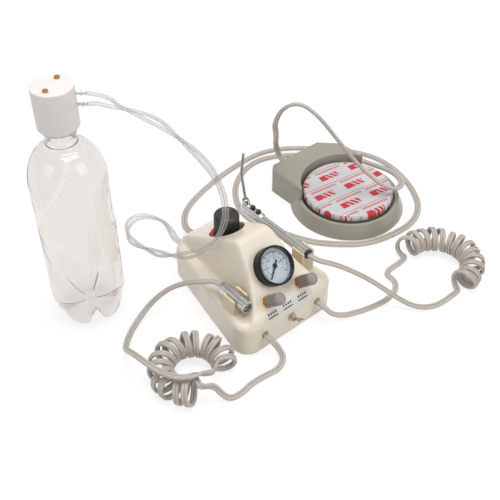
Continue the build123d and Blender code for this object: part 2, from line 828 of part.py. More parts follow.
block_chamfer = 22.0
with BuildPart() as pedal_housing:
    with BuildSketch(Plane.XY):
        with Locations((pedal_x, pedal_y)):
            Circle(pedal_foot_r)
    with BuildSketch(Plane.XY.offset(pedal_rim_z)):
        with Locations((pedal_x, pedal_y)):
            Circle(pedal_rim_r)
    loft()
    with BuildSketch(Plane.XY) as block_outline:
        with BuildLine():
            Polyline(
                (block_left_x, pedal_y + 26),
                (block_left_x, block_back_y - 8),
                (block_left_x + 8, block_back_y),
                (block_right_x - block_chamfer, block_back_y),
                (block_right_x, block_back_y - block_chamfer),
                (block_right_x, pedal_y + 26),
                close=True,
            )
        make_face()
        fillet(block_outline.vertices().sort_by(Axis.Y)[2:], radius=4)
    extrude(amount=block_top_z)
    fillet(pedal_housing.faces().sort_by(Axis.Z)[-1].edges().sort_by(Axis.Y)[1:], radius=2.5)
    with BuildSketch(Plane.XY.offset(well_floor)):
        with Locations((pedal_x, pedal_y)):
            Circle(pedal_well_r)
    extrude(amount=block_top_z, mode=Mode.SUBTRACT)
    with BuildSketch(Plane.XY):
        with Locations((pedal_x, pedal_y)):
            Circle(pedal_foot_r - 2)
    extrude(amount=3, mode=Mode.SUBTRACT)
save(pedal_housing.part, "pedal_housing")

valve_r = 18.0
valve_bore_r = 8.0
with BuildPart() as pedal_valve:
    with BuildSketch(Plane.XY.offset(well_floor)):
        with Locations((pedal_x, pedal_y)):
            Circle(valve_r)
            Circle(valve_bore_r, mode=Mode.SUBTRACT)
    extrude(amount=disc_bottom_z - pedal_travel - pedal_stop_gap - well_floor)
save(pedal_valve.part, "pedal_valve")

with BuildPart() as pedal_disc:
    with BuildSketch(Plane.XY.offset(disc_bottom_z)):
        with Locations((pedal_x, pedal_y)):
            Circle(disc_r)
    extrude(amount=disc_top_z - disc_bottom_z)
    fillet(pedal_disc.edges().group_by(Axis.Z)[-1], radius=3)
save(pedal_disc.part, "pedal_disc")

spring_r = 5.0
with BuildPart() as pedal_spring:
    with BuildSketch(Plane.XY.offset(well_floor)):
        with Locations((pedal_x, pedal_y)):
            Circle(spring_r + 1)
            Circle(spring_r - 1, mode=Mode.SUBTRACT)
    extrude(amount=disc_bottom_z - well_floor)
save(pedal_spring.part, "pedal_spring")

with BuildPart() as pedal_film:
    with BuildSketch(Plane.XY.offset(disc_top_z)):
        with Locations((pedal_x, pedal_y)):
            Circle(disc_r - 3)
    extrude(amount=film_t)
save(pedal_film.part, "pedal_film")

pedal_port = (175.0, block_back_y, 15.0)
pedal_gland_len = 8.0
with BuildPart() as pedal_gland:
    with BuildSketch(Plane(origin=pedal_port, x_dir=(-1, 0, 0), z_dir=(0, 1, 0))):
        Circle(4.5)
    extrude(amount=pedal_gland_len)
save(pedal_gland.part, "pedal_gland")


# ---------------------------------------------------------------- hoses
def bend_radii(points):
    """Largest even arc at each inner point: 0.45 of the shorter run over the tangent of half the turn."""
    spots = [Vector(*p) for p in points]
    radii = []
    for before, here, after in zip(spots, spots[1:], spots[2:]):
        run_in, run_out = here - before, after - here
        share = run_in.dot(run_out) / (run_in.length * run_out.length)
        turn = acos(max(-1.0, min(1.0, share)))
        radii.append(0.45 * min(run_in.length, run_out.length) / tan(turn / 2))
    return radii


def hose(points, diameter, name):
    """Round tube along straight runs joined by tangent arcs."""
    radii = bend_radii(points)
    with BuildPart() as tube:
        with BuildLine() as route:
            FilletPolyline(*points, radius=radii)
        with BuildSketch(Plane(origin=route.line @ 0, z_dir=route.line % 0)):
            Circle(diameter / 2)
        sweep()
    length = sum(edge.length for edge in route.edges())
    share = tube.part.volume / (pi * diameter**2 / 4 * length)
    print(f"{name}: length {length:.0f} mm, tightest bend {min(radii):.0f} mm, volume ratio {share:.4f}")
    save(tube.part, name)


def coil(centre, start, end, name):
    """Outer shape of a curly hose that lies in a ring: an arc of `start` to `end` degrees."""
    cx, cy, ring_r = centre
    with BuildPart() as ring:
        with BuildLine() as arc:
            CenterArc((cx, cy, coil_d / 2), ring_r, start, end - start)
        with BuildSketch(Plane(origin=arc.line @ 0, z_dir=arc.line % 0)):
            Circle(coil_d / 2)
        sweep()
    save(ring.part, name)


pedal_gland_end = (pedal_port[0], pedal_port[1] + pedal_gland_len, pedal_port[2])
pedal_hose_route = [
    (pedal_port_x, half + gland_proud, pedal_port_z),
    (pedal_port_x, half + 20, pedal_port_z),
    (9, 109, 8),
    (17, 128, 3.5),
    (34, 146, 3),
    (65, 159, 3),
    (98, 168, 3),
    (134, 174, 3),
    (173, 176, 3),
    (206, 163, 3),
    (238, 135, 3),
    (265, 104, 3),
    (280, 77, 3),
    (282, 46, 3),
    (276, 20, 3),
    (266, -4, 3),
    (249, -29, 3),
    (220, -45, 3),
    (182, -43, 3),
    (150, -34, 3),
    (124, -12, 3),
    (105, 10, 3),
    (92, 41, 3),
    (80, 74, 3),
    (81, 104, 3),
    (98, 134, 3),
    (123, 155, 3),
    (152, 165, 3),
    (180, 160, 3),
    (208, 142, 3),
    (238, 116, 3),
    (258, 90, 4),
    (264, 60, 6),
    (262, 34, 14),
    (252, 10, 23),
    (238, -8, 29),
    (222, -12, 31),
    (211, -2, 36),
    (201, 10, 47),
    (188, 26, 67),
    (174, 42, 94),
    (160, 60, 122),
    (146, 76, 138),
    (133, 90, 130),
    (134, 104, 102),
    (148, 116, 76),
    (163, 132, 54),
    (173, 144, 34),
    (pedal_port[0], block_back_y + 20, pedal_port[2]),
    pedal_gland_end,
]
hose(pedal_hose_route, pedal_hose_d, "pedal_hose")

barb_dir = (cos(radians(barb_angle)), sin(radians(barb_angle)))
tube_top = (bottle_x + barb_tip * barb_dir[0], bottle_y + barb_tip * barb_dir[1], sum(barb_z) / 2)
bottle_tube_route = [
    tube_top,
    (tube_top[0] + 9 * barb_dir[0], tube_top[1] + 9 * barb_dir[1], tube_top[2]),
    (-96, 57, 245),
    (-88, 56, 238),
    (-73, 48, 228),
    (-58, 43, 215),
    (-43, 37, 196),
    (-28, 32, 174),
    (-16, 27, 153),
    (-10, 20, 132),
    (-11, 12, 112),
    (-17, 8, 96),
    (-28, 9, 81),
    (-42, 18, 68),
    (-51, 34, 57),
    (-55, 54, 46),
    (-56, 76, 35),
    (-56, 100, 25),
    (-54, 126, 15),
    (-47, 151, 7),
    (-33, 168, 5),
    (-17, 170, 5),
    (-6, 157, 6),
    (-4, 137, 10),
    (-10, 116, 15),
    (tube_gland_x, half + 20, tube_gland_z),
    (tube_gland_x, half + gland_proud, tube_gland_z),
]
hose(bottle_tube_route, bottle_tube_d, "bottle_tubes")

dip_route = [
    (bottle_x, bottle_y, cap_skirt + 8),
    (bottle_x, bottle_y, 205),
    (-132, 87, 180),
    (-140, 93, 157),
    (-151, 102, 136),
    (-157, 107, 112),
    (-156, 106, 90),
    (-146, 98, 74),
    (-132, 87, 67),
]
hose(dip_route, dip_d, "dip_tube")

coil_z = coil_d / 2
turn_r = (coil_d - curly_d) / 2      # radius of the helix that the curly tube follows


def ring_spot(centre, angle, inward=0.0, up=0.0, ahead=0.0):
    """Point at a coil's end face, `ahead` of it clockwise along the ring's tangent.

    `inward` moves it toward the ring's centre and `up` above the coil's axis.
    """
    reach = centre[2] - inward
    s, c = sin(radians(angle)), cos(radians(angle))
    return (centre[0] + reach * c + ahead * s, centre[1] + reach * s - ahead * c, coil_z + up)


left_ring = (-112.0, -58.0, 30.0)     # centre of the ring and its radius
left_start, left_end = 244.0, -36.0
coil(left_ring, left_start, left_end, "handpiece_coil")
handpiece_front_route = [
    (-hose_hole_x, front_y - front_gland_proud, hose_hole_z),
    (-hose_hole_x, front_y - 9, hose_hole_z),
    (-32, -92, 12),
    (-32, -100, 5),
    (-44, -106, 3.5),
    (-60, -103, 3.5),
    (-76, -102, 3.5),
    (-91, -105, 3.5),
    (-101, -101, 3.5),
    ring_spot(left_ring, left_start, 0, -turn_r, -11),
    ring_spot(left_ring, left_start, 0, -turn_r),
]
hose(handpiece_front_route, curly_d, "handpiece_hose_front")

handpiece_tail_route = [
    ring_spot(left_ring, left_end, turn_r, 0),
    ring_spot(left_ring, left_end, turn_r, 0, 9),
    (-108, -80, 23),
    (-120, -80, 32.5),
    (-134, -76, 33),
    (-144, -63, 33),
    (-149, -46, 32.5),
    (-151, -30, 32),
    (-151, -14, 27),
    (-148, 1, 15),
    (-140, 14, 6),
    (-128, 25, 4),
    (-112, 34, 5),
    (-95, 38, 12),
    (-81, 34, 23),
    (-71, 25, 34),
    (-61, 12, 43),
    (-51, -3, 49.5),
    (-clip_x, coupling_back_y + 9, coupling_z),
    (-clip_x, coupling_back_y, coupling_z),
]
hose(handpiece_tail_route, curly_d, "handpiece_hose_tail")

right_ring = (180.0, -113.0, 37.0)
right_start, right_end = 105.0, -100.0
coil(right_ring, right_start, right_end, "syringe_coil")
syringe_front_route = [
    (hose_hole_x, front_y - front_gland_proud, hose_hole_z),
    (hose_hole_x, front_y - 9, hose_hole_z),
    (40, -92, 11),
    (52, -97, 4.5),
    (68, -102, 3.5),
    (85, -107, 3.5),
    (101, -109.5, 3.5),
    (116, -108, 3.5),
    (127, -103, 3.5),
    (133, -94, 3.5),
    (132, -84, 3.5),
    (140, -80, 3.5),
    (150, -82, 3.5),
    ring_spot(right_ring, right_start, 0, -turn_r, -10),
    ring_spot(right_ring, right_start, 0, -turn_r),
]
hose(syringe_front_route, curly_d, "syringe_hose_front")

syringe_tail_route = [
    ring_spot(right_ring, right_end, 0, -turn_r),
    ring_spot(right_ring, right_end, 0, -turn_r, 10),
    (153, -150, 3.5),
    (140, -149, 3.5),
    (128, -145, 4),
    (117, -137, 6),
    (110, -126, 10),
    (103, -114, 17),
    (94, -103, 27),
    (83, -94, 38),
    (70, -85, 49),
    (57, -74, 58),
    (clip_x, syringe_tail_y - 11, syringe_z),
    (clip_x, syringe_tail_y, syringe_z),
]
hose(syringe_tail_route, curly_d, "syringe_hose_tail")
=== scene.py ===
"""Portable dental turbine unit: a control box with gauge, regulator and valves, a water bottle,
a foot pedal, and a three-way syringe and a handpiece coupling on curly twin hoses.

All places are in metres in the CAD frame: +X to the box's right, -Y its front, +Z up.
"""

import math

import bpy
import numpy as np
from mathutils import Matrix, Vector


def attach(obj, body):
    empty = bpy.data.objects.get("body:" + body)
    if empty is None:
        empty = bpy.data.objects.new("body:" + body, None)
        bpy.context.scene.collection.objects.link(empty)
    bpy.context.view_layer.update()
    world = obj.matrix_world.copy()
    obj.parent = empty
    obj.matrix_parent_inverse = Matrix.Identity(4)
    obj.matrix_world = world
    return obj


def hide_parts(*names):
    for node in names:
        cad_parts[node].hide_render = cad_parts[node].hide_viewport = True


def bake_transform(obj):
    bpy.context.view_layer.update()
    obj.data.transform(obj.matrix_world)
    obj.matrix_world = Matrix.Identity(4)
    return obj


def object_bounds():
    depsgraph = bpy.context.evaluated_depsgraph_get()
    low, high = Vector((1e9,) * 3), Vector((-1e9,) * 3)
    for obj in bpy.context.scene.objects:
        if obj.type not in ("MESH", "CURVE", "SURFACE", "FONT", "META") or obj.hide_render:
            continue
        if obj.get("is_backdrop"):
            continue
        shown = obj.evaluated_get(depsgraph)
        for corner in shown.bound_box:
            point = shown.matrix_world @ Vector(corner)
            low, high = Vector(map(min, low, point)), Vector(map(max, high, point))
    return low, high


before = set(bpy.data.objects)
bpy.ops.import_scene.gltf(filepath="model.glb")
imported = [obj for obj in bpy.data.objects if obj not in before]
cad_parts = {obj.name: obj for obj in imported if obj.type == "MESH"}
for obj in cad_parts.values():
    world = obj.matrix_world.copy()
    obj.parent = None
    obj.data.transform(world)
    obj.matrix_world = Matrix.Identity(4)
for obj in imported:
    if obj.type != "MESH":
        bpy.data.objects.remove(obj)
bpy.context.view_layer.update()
scene = bpy.context.scene
scene.view_settings.view_transform = "Standard"


# ------------------------------------------------ floor, light and camera
# A white paper sweep under soft boxes. The sweep reads as white to the eye, to metal and
# through clear plastic, and still keeps the unit's faint contact shadows.
def srgb(code):
    """Linear colour of a hex code: each channel c goes to ((c + 0.055) / 1.055) ** 2.4 above 0.04045."""
    c = np.array([int(code[i : i + 2], 16) / 255 for i in (1, 3, 5)])
    return (*np.where(c <= 0.04045, c / 12.92, ((c + 0.055) / 1.055) ** 2.4), 1.0)


def add(tree, kind, inputs=(), **settings):
    """A new node of that kind: settings are its own values, inputs pair a socket with a value or a link."""
    made = tree.nodes.new(kind)
    for key, value in settings.items():
        setattr(made, key, value)
    for key, value in dict(inputs).items():
        if isinstance(value, bpy.types.NodeSocket):
            tree.links.new(value, made.inputs[key])
        else:
            made.inputs[key].default_value = value
    return made


def empty_material(name):
    """A material with only its output node, and its node tree."""
    material = bpy.data.materials.new(name)
    material.use_nodes = True
    material.node_tree.nodes.clear()
    return material, material.node_tree


paper, tree = empty_material("white_paper_sweep")
rays = add(tree, "ShaderNodeLightPath")
seen = add(
    tree, "ShaderNodeMath", {0: rays.outputs["Is Camera Ray"], 1: rays.outputs["Is Glossy Ray"]},
    operation="ADD",
)
seen = add(
    tree, "ShaderNodeMath", {0: seen.outputs[0], 1: rays.outputs["Is Transmission Ray"]}, operation="ADD",
    use_clamp=True,
)
bounced = add(tree, "ShaderNodeBsdfDiffuse", {"Color": srgb("#E9E8E6")})
shaded = add(tree, "ShaderNodeBsdfDiffuse", {"Color": (0.27, 0.27, 0.27, 1)})
glow = add(tree, "ShaderNodeEmission", {"Color": (1, 1, 1, 1), "Strength": 0.78})
lit = add(tree, "ShaderNodeAddShader", {0: shaded.outputs[0], 1: glow.outputs[0]})
both = add(tree, "ShaderNodeMixShader", {0: seen.outputs[0], 1: bounced.outputs[0], 2: lit.outputs[0]})
add(tree, "ShaderNodeOutputMaterial", {"Surface": both.outputs[0]})

floor_mesh = bpy.data.meshes.new("paper_floor")
floor_mesh.from_pydata([(-4, -4, 0), (4, -4, 0), (4, 4, 0), (-4, 4, 0)], [], [(0, 1, 2, 3)])
floor_mesh.materials.append(paper)
floor = bpy.data.objects.new("paper_floor", floor_mesh)
scene.collection.objects.link(floor)
floor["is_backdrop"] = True

world = bpy.data.worlds.new("studio_air")
scene.world = world
world.use_nodes = True
tree = world.node_tree
tree.nodes.clear()
rays = add(tree, "ShaderNodeLightPath")
seen = add(
    tree, "ShaderNodeMath", {0: rays.outputs["Is Camera Ray"], 1: rays.outputs["Is Transmission Ray"]},
    operation="ADD", use_clamp=True,
)
air = add(tree, "ShaderNodeBackground", {"Color": srgb("#F8F6F4"), "Strength": 0.46})
white = add(tree, "ShaderNodeBackground", {"Color": (1, 1, 1, 1), "Strength": 1.0})
# what polished metal sees: a white sweep, a dark gap between the boards, and a grey ceiling
toward = add(tree, "ShaderNodeTexCoord")
toward = add(tree, "ShaderNodeSeparateXYZ", {0: toward.outputs["Generated"]})
boards = add(tree, "ShaderNodeValToRGB", {0: toward.outputs["Z"]})
boards.color_ramp.elements[0].position, boards.color_ramp.elements[0].color = 0.10, (0.95, 0.95, 0.95, 1)
boards.color_ramp.elements[1].position, boards.color_ramp.elements[1].color = 0.95, (0.85, 0.85, 0.85, 1)
for height, level_seen in (
    (0.24, 0.85), (0.29, 0.08), (0.36, 0.12), (0.42, 0.90), (0.74, 0.80), (0.80, 0.30),
):
    boards.color_ramp.elements.new(height).color = (level_seen, level_seen, level_seen, 1)
mirrored = add(tree, "ShaderNodeBackground", {"Color": boards.outputs[0], "Strength": 1.0})
both = add(
    tree, "ShaderNodeMixShader",
    {0: rays.outputs["Is Glossy Ray"], 1: air.outputs[0], 2: mirrored.outputs[0]},
)
both = add(tree, "ShaderNodeMixShader", {0: seen.outputs[0], 1: both.outputs[0], 2: white.outputs[0]})
add(tree, "ShaderNodeOutputWorld", {"Surface": both.outputs[0]})

for name, place, turn, size, power in (
    ("soft_box_top", (0.15, 0.10, 1.5), (0, 0, 0), 1.1, 14.5),
    ("soft_box_front", (0.55, -1.25, 0.9), (62, 0, 24), 0.9, 5.5),
    ("soft_box_left", (-1.3, 0.1, 0.8), (62, 0, -94), 0.7, 2.4),
):
    light = bpy.data.lights.new(name, "AREA")
    light.shape = "SQUARE"
    light.size = size
    light.energy = power
    lamp = bpy.data.objects.new(name, light)
    lamp.location = place
    lamp.rotation_euler = [math.radians(a) for a in turn]
    scene.collection.objects.link(lamp)

lens = bpy.data.cameras.new("camera")
lens.lens = 59.83
lens.sensor_width = 36.0
camera = bpy.data.objects.new("camera", lens)
camera.location = (-0.4003, -0.4812, 0.6296)
camera.rotation_euler = (math.radians(47.65), 0.0, math.radians(-40.4))
scene.collection.objects.link(camera)
scene.camera = camera


# ------------------------------------------------ pedal hose
# Twin PVC air line, two small tubes joined side by side with a groove between them. It leaves
# the back of the box, lies in two wide loops round the pedal, arches over it and enters its back.
def smooth_line(points, step):
    """Points every `step` metres along the NURBS curve of third order that has `points` as its controls."""
    curve = bpy.data.curves.new("route", "CURVE")
    curve.dimensions = "3D"
    curve.resolution_u = 12
    spline = curve.splines.new("NURBS")
    spline.points.add(len(points) - 1)
    spline.points.foreach_set("co", np.c_[np.array(points, float), np.ones(len(points))].ravel())
    spline.order_u = 3
    spline.use_endpoint_u = True
    holder = bpy.data.objects.new("route", curve)
    read = bpy.data.meshes.new_from_object(holder)
    found = np.empty(len(read.vertices) * 3)
    read.vertices.foreach_get("co", found)
    found = found.reshape(-1, 3)
    bpy.data.objects.remove(holder)
    bpy.data.meshes.remove(read)
    along = np.r_[0, np.cumsum(np.linalg.norm(np.diff(found, axis=0), axis=1))]
    even = np.linspace(0, along[-1], int(along[-1] / step) + 1)
    return np.stack([np.interp(even, along, found[:, i]) for i in range(3)], axis=1)


def unit(vectors):
    """Vectors over their own lengths."""
    return vectors / np.linalg.norm(vectors, axis=-1, keepdims=True)


def surface(name, grid, closed=True, capped=True, uv=None):
    """Mesh over a grid of points [row, column, xyz], its columns joined in a ring if `closed`.

    `capped` closes the first and the last row with a fan to their middle. The UV map holds each
    point's column share and its row share, or `uv` as two arrays over rows and columns.
    """
    rows, cols = grid.shape[:2]
    r, c = np.meshgrid(np.arange(rows - 1), np.arange(cols if closed else cols - 1), indexing="ij")
    r, c = r.ravel(), c.ravel()
    ahead = (c + 1) % cols
    quads = np.stack([r * cols + c, r * cols + ahead, (r + 1) * cols + ahead, (r + 1) * cols + c], axis=1)
    points = grid.reshape(-1, 3)
    faces = quads.tolist()
    across, along = (np.arange(cols + 1) / cols, np.arange(rows) / (rows - 1)) if uv is None else uv
    left, right, low, high = across[c], across[c + 1], along[r], along[r + 1]
    maps = np.stack([left, low, right, low, right, high, left, high], axis=1).reshape(-1, 2)
    if capped:
        points = np.r_[points, [grid[0].mean(axis=0), grid[-1].mean(axis=0)]]
        first, last, ring = rows * cols, rows * cols + 1, np.arange(cols)
        faces += np.stack([np.full(cols, first), (ring + 1) % cols, ring], axis=1).tolist()
        end_row = (rows - 1) * cols
        faces += np.stack([np.full(cols, last), end_row + ring, end_row + (ring + 1) % cols], axis=1).tolist()
        caps = np.repeat([[0.25, 0.0], [0.25, 1.0]], 3 * cols, axis=0)
        maps = np.r_[maps, caps]
    mesh = bpy.data.meshes.new(name)
    mesh.from_pydata(points.tolist(), [], faces)
    mesh.uv_layers.new(name="surface").data.foreach_set("uv", maps.ravel())
    mesh.polygons.foreach_set("use_smooth", np.ones(len(faces), bool))
    piece = bpy.data.objects.new(name, mesh)
    scene.collection.objects.link(piece)
    return piece


def twin_section(width, height):
    """Outline of two round tubes side by side: two arcs of 270 degrees that meet in a shallow groove."""
    tube = height / 2
    arc = np.radians(np.linspace(-135, 135, 12))
    right = np.stack([width / 2 - tube + tube * np.cos(arc), tube * np.sin(arc)], axis=1)
    return np.r_[right, -right]


def along_path(path, flat, section):
    """Grid of a section carried along a path: at each point, u along `flat` and v along tangent x flat."""
    ahead = unit(np.gradient(path, axis=0))
    flat = unit(flat - ahead * np.sum(flat * ahead, axis=1, keepdims=True))
    rise = np.cross(ahead, flat)
    across = section[None, :, 0, None] * flat[:, None]
    return path[:, None] + across + section[None, :, 1, None] * rise[:, None]


def level(path):
    """Direction that is level and square to the path, for a flat hose lying down.

    Where the path climbs steeply it means little, so each direction counts by how level the path is,
    keeps the sign of the one before, and is eased with its neighbours.
    """
    ease = 25
    side = np.cross(unit(np.gradient(path, axis=0)), (0, 0, 1.0))
    signs = np.sign(np.sum(side[1:] * side[:-1], axis=1))
    side = side * np.r_[1, np.cumprod(np.where(signs == 0, 1, signs))][:, None]
    window = np.hanning(2 * ease + 3)[1:-1]
    eased = [
        np.convolve(np.pad(side[:, i], ease, mode="edge"), window / window.sum(), "valid") for i in range(3)
    ]
    return unit(np.stack(eased, axis=1))


def untwisted(path, first):
    """Direction square to the path, carried along it from `first` without turning round the path."""
    ahead = unit(np.gradient(path, axis=0))
    flat = [np.array(first, float)]
    for tangent in ahead:
        square = flat[-1] - tangent * (flat[-1] @ tangent)
        flat.append(square / np.linalg.norm(square))
    return np.array(flat[1:])


# soft PVC, extruded: satin, a faint sheen on its crowns, and painted shade darkening the groove between the
# tubes
hose_pvc, tree = empty_material("extruded_grey_pvc")
place = add(tree, "ShaderNodeTexCoord")
uv = add(tree, "ShaderNodeSeparateXYZ", {0: place.outputs["UV"]})
turns = add(tree, "ShaderNodeMath", {0: uv.outputs["X"], 1: 2.0}, operation="MULTIPLY")
turns = add(tree, "ShaderNodeMath", {0: turns.outputs[0]}, operation="FRACT")
# painted shade: the colour darkens towards #665E57 along the groove between the two tubes
groove = add(tree, "ShaderNodeMath", {0: turns.outputs[0], 1: 0.5}, operation="SUBTRACT")
groove = add(tree, "ShaderNodeMath", {0: groove.outputs[0]}, operation="ABSOLUTE")
groove = add(
    tree, "ShaderNodeMapRange",
    {"Value": groove.outputs[0], "From Min": 0.40, "From Max": 0.5, "To Min": 0.0, "To Max": 0.8},
)
cloud = add(tree, "ShaderNodeTexNoise", {"Vector": place.outputs["Object"], "Scale": 45.0, "Detail": 3.0})
tint = add(
    tree, "ShaderNodeMix", {"Factor": cloud.outputs["Fac"], 6: srgb("#B4ACA4"), 7: srgb("#C0B8AF")},
    data_type="RGBA",
)
tint = add(
    tree, "ShaderNodeMix", {"Factor": groove.outputs[0], 6: tint.outputs[2], 7: srgb("#665E57")},
    data_type="RGBA",
)
fine = add(tree, "ShaderNodeTexNoise", {"Vector": place.outputs["Object"], "Scale": 900.0, "Detail": 2.0})
skin = add(tree, "ShaderNodeBump", {"Height": fine.outputs["Fac"], "Strength": 0.12, "Distance": 0.0002})
rough = add(tree, "ShaderNodeMapRange", {"Value": cloud.outputs["Fac"], "To Min": 0.36, "To Max": 0.46})
pvc = add(
    tree, "ShaderNodeBsdfPrincipled",
    {"Base Color": tint.outputs[2], "Roughness": rough.outputs[0], "Normal": skin.outputs[0], "IOR": 1.53},
)
add(tree, "ShaderNodeOutputMaterial", {"Surface": pvc.outputs[0]})


def laid(points):
    """Points in millimetres as metres."""
    return np.array(points, float) / 1000


pedal_route = laid([
    (8, 83, 14), (8, 95, 14), (9, 109, 8), (17, 128, 3.5), (34, 146, 3), (65, 159, 3), (98, 168, 3),
    (134, 174, 3), (173, 176, 3), (206, 163, 3), (238, 135, 3), (265, 104, 3), (280, 77, 3), (282, 46, 3),
    (276, 20, 3), (266, -4, 3), (249, -29, 3), (220, -45, 3), (182, -43, 3), (150, -34, 3), (124, -12, 3),
    (105, 10, 3), (92, 41, 3), (80, 74, 3), (81, 104, 3), (98, 134, 3), (123, 155, 3), (152, 165, 3),
    (180, 160, 3), (208, 142, 3), (238, 116, 3), (258, 90, 4), (264, 60, 6), (262, 34, 14), (252, 10, 23),
    (238, -8, 29), (222, -12, 31), (211, -2, 36), (201, 10, 47), (188, 26, 67), (174, 42, 94),
    (160, 60, 122), (146, 76, 138), (133, 90, 130), (134, 104, 102), (148, 116, 76), (163, 132, 54),
    (173, 144, 34), (175, 137, 15), (175, 125, 15),
])
path = smooth_line(pedal_route, 0.002)
pedal_hose = surface(
    "pedal_hose_twin", along_path(path, untwisted(path, (1, 0, 0)), twin_section(0.0076, 0.0042)),
)
pedal_hose.data.materials.append(hose_pvc)
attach(pedal_hose, "unit")
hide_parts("pedal_hose")


# ------------------------------------------------ curly hoses
# The same twin line wound hot into a spring. Each leaves a gland at the box's front, lies in
# a ring of loose turns that bunch at the inside and fan out at the outside, and goes up to its tool.
def curly(centre, ring, start, stop, turns, sway, first, last):
    """Points of a spring that lies in a ring, 16 to a turn, from angle `start` to `stop` in degrees.

    Turn t has its middle on a circle of radius `ring` round `centre`. Its own radius swells and shrinks
    a little, its lowest point stays on the floor, and its outer side swings along the ring by `sway`.
    """
    count = int(turns * 16)
    t = np.linspace(0, turns, count)
    spin = np.radians(first) + np.linspace(0, 2 * math.pi * turns + np.radians(last - first), count)
    size = 0.0118 * (1 + 0.035 * np.sin(2.1 * t) + 0.03 * np.sin(5.3 * t + 1))
    outer = (1 + np.cos(spin)) / 2
    angle = np.radians(start + (stop - start) * t / turns)
    angle = angle + sway * np.cos(math.pi * t) * (0.75 + 0.35 * np.sin(1.7 * t)) * outer
    reach = ring + size * np.cos(spin)
    height = 0.0023 + size * (1 + np.sin(spin))
    return np.stack([centre[0] + reach * np.cos(angle), centre[1] + reach * np.sin(angle), height], axis=1)


def curly_flat(path, centre, ring):
    """Flat direction of a curly hose: level on its runs, along the ring's circle in its turns.

    Its sign is carried on from point to point, so the hose never flips over, and it is then eased.
    """
    out = path - np.array([*centre, 0.0])
    out[:, 2] = 0
    circle = np.cross((0, 0, 1.0), unit(out))
    near = np.abs(np.linalg.norm(out, axis=1) - ring) < 0.016
    climb = np.abs(unit(np.gradient(path, axis=0))[:, 2])
    turning = (near & (path[:, 2] < 0.031) & (climb > 0.25)).astype(float)
    turning = np.convolve(turning, np.ones(31) / 31, "same") > 0.35
    flat = np.where(turning[:, None], circle, level(path))
    signs = np.sign(np.sum(flat[1:] * flat[:-1], axis=1))
    flat = flat * np.r_[1, np.cumprod(np.where(signs == 0, 1, signs))][:, None]
    eased = [np.convolve(np.pad(flat[:, i], 7, mode="edge"), np.ones(15) / 15, "valid") for i in range(3)]
    return unit(np.stack(eased, axis=1))


left_centre, left_ring = (-0.112, -0.058), 0.030
left_route = np.r_[
    laid([(-35, -75.6, 20), (-35, -84, 20), (-32, -92, 12), (-32, -100, 5), (-44, -106, 3), (-60, -103, 2.5),
          (-76, -102, 2.5), (-91, -105, 2.5), (-103, -103, 3), (-108, -97, 9), (-112, -91, 19)]),
    curly(left_centre, left_ring, 244, -36, 14.5, 0.08, 70, -60),
    laid([
        (-101, -77, 17), (-109, -81, 25), (-120, -80, 32), (-134, -76, 33), (-144, -63, 33), (-149, -46, 33),
        (-151, -30, 32), (-151, -14, 27), (-148, 1, 15), (-140, 14, 6), (-128, 25, 4), (-112, 34, 5),
        (-95, 38, 12), (-81, 34, 23), (-71, 25, 34), (-61, 12, 43), (-51, -3, 49.5), (-44, -11, 51),
        (-44, -20, 51),
    ]),
]
right_centre, right_ring = (0.180, -0.113), 0.037
right_route = np.r_[
    laid([(35, -75.6, 20), (35, -84, 20), (40, -92, 11), (52, -97, 4.5), (68, -102, 2.5), (85, -107, 2.5),
          (101, -109.5, 2.5), (116, -108, 2.5), (127, -103, 2.5), (133, -94, 2.5), (132, -84, 2.5), (
              140, -80, 2.5,
          ),
          (150, -80, 2.5), (160, -80, 2.5)]),
    curly(right_centre, right_ring, 105, -100, 13.0, 0.07, -90, -90),
    laid([
        (163, -150, 3), (153, -150, 2.5), (140, -149, 2.5), (128, -145, 3.5), (117, -137, 6), (110, -126, 10),
        (103, -114, 17), (94, -103, 27), (83, -94, 38), (70, -85, 49), (57, -74, 58), (44, -62, 62),
        (44, -51, 62),
    ]),
]
for name, tool, route, centre, ring, low, high, long in (
    ("handpiece", "coupling", left_route, left_centre, left_ring, 0.037, 0.047, 1.50),
    ("syringe", "syringe", right_route, right_centre, right_ring, 0.037, 0.055, 1.31),
):
    path = smooth_line(route, 0.0016)
    grid = along_path(path, curly_flat(path, centre, ring), twin_section(0.0064, 0.0037))
    hose = surface(f"{name}_hose", grid)
    hose.data.materials.append(hose_pvc)
    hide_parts(f"{name}_hose_front", f"{name}_coil", f"{name}_hose_tail")
    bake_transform(hose)


# ------------------------------------------------ case
# Injection moulded ABS shell in one piece: a low body with rounded corners, and a tall ridge
# that carries the sloping console. Its sides blend into the low shoulders in wide hollows.
def soft_min(a, b, reach):
    """The lower of two heights, with their crease rounded over a height difference of `reach`."""
    mix = np.clip(0.5 + (b - a) / (2 * reach), 0, 1)
    return b + (a - b) * mix - reach * mix * (1 - mix)


def soft_max(a, b, reach):
    """The higher of two heights, with their hollow rounded over a height difference of `reach`."""
    return -soft_min(-a, -b, reach)


def rim_distance(x, y):
    """How far a point lies inside the outline, in millimetres: a tapered plan with rounded corners.

    The plan is 64 wide each side at the front, 36 at the back and 150 deep; corners of 20 and 12.
    """
    side = ((50 - 28 * y / 150) - np.abs(x)) * math.cos(math.atan(28 / 150))
    end = 75 - np.abs(y)
    corner = np.where(y < 0, 20.0, 12.0)
    away = np.hypot(np.maximum(corner - side, 0), np.maximum(corner - end, 0))
    return np.where((side < corner) & (end < corner), corner - away, np.minimum(side, end))


# height of the console's plane above the middle of the box
console_rise = 109.5


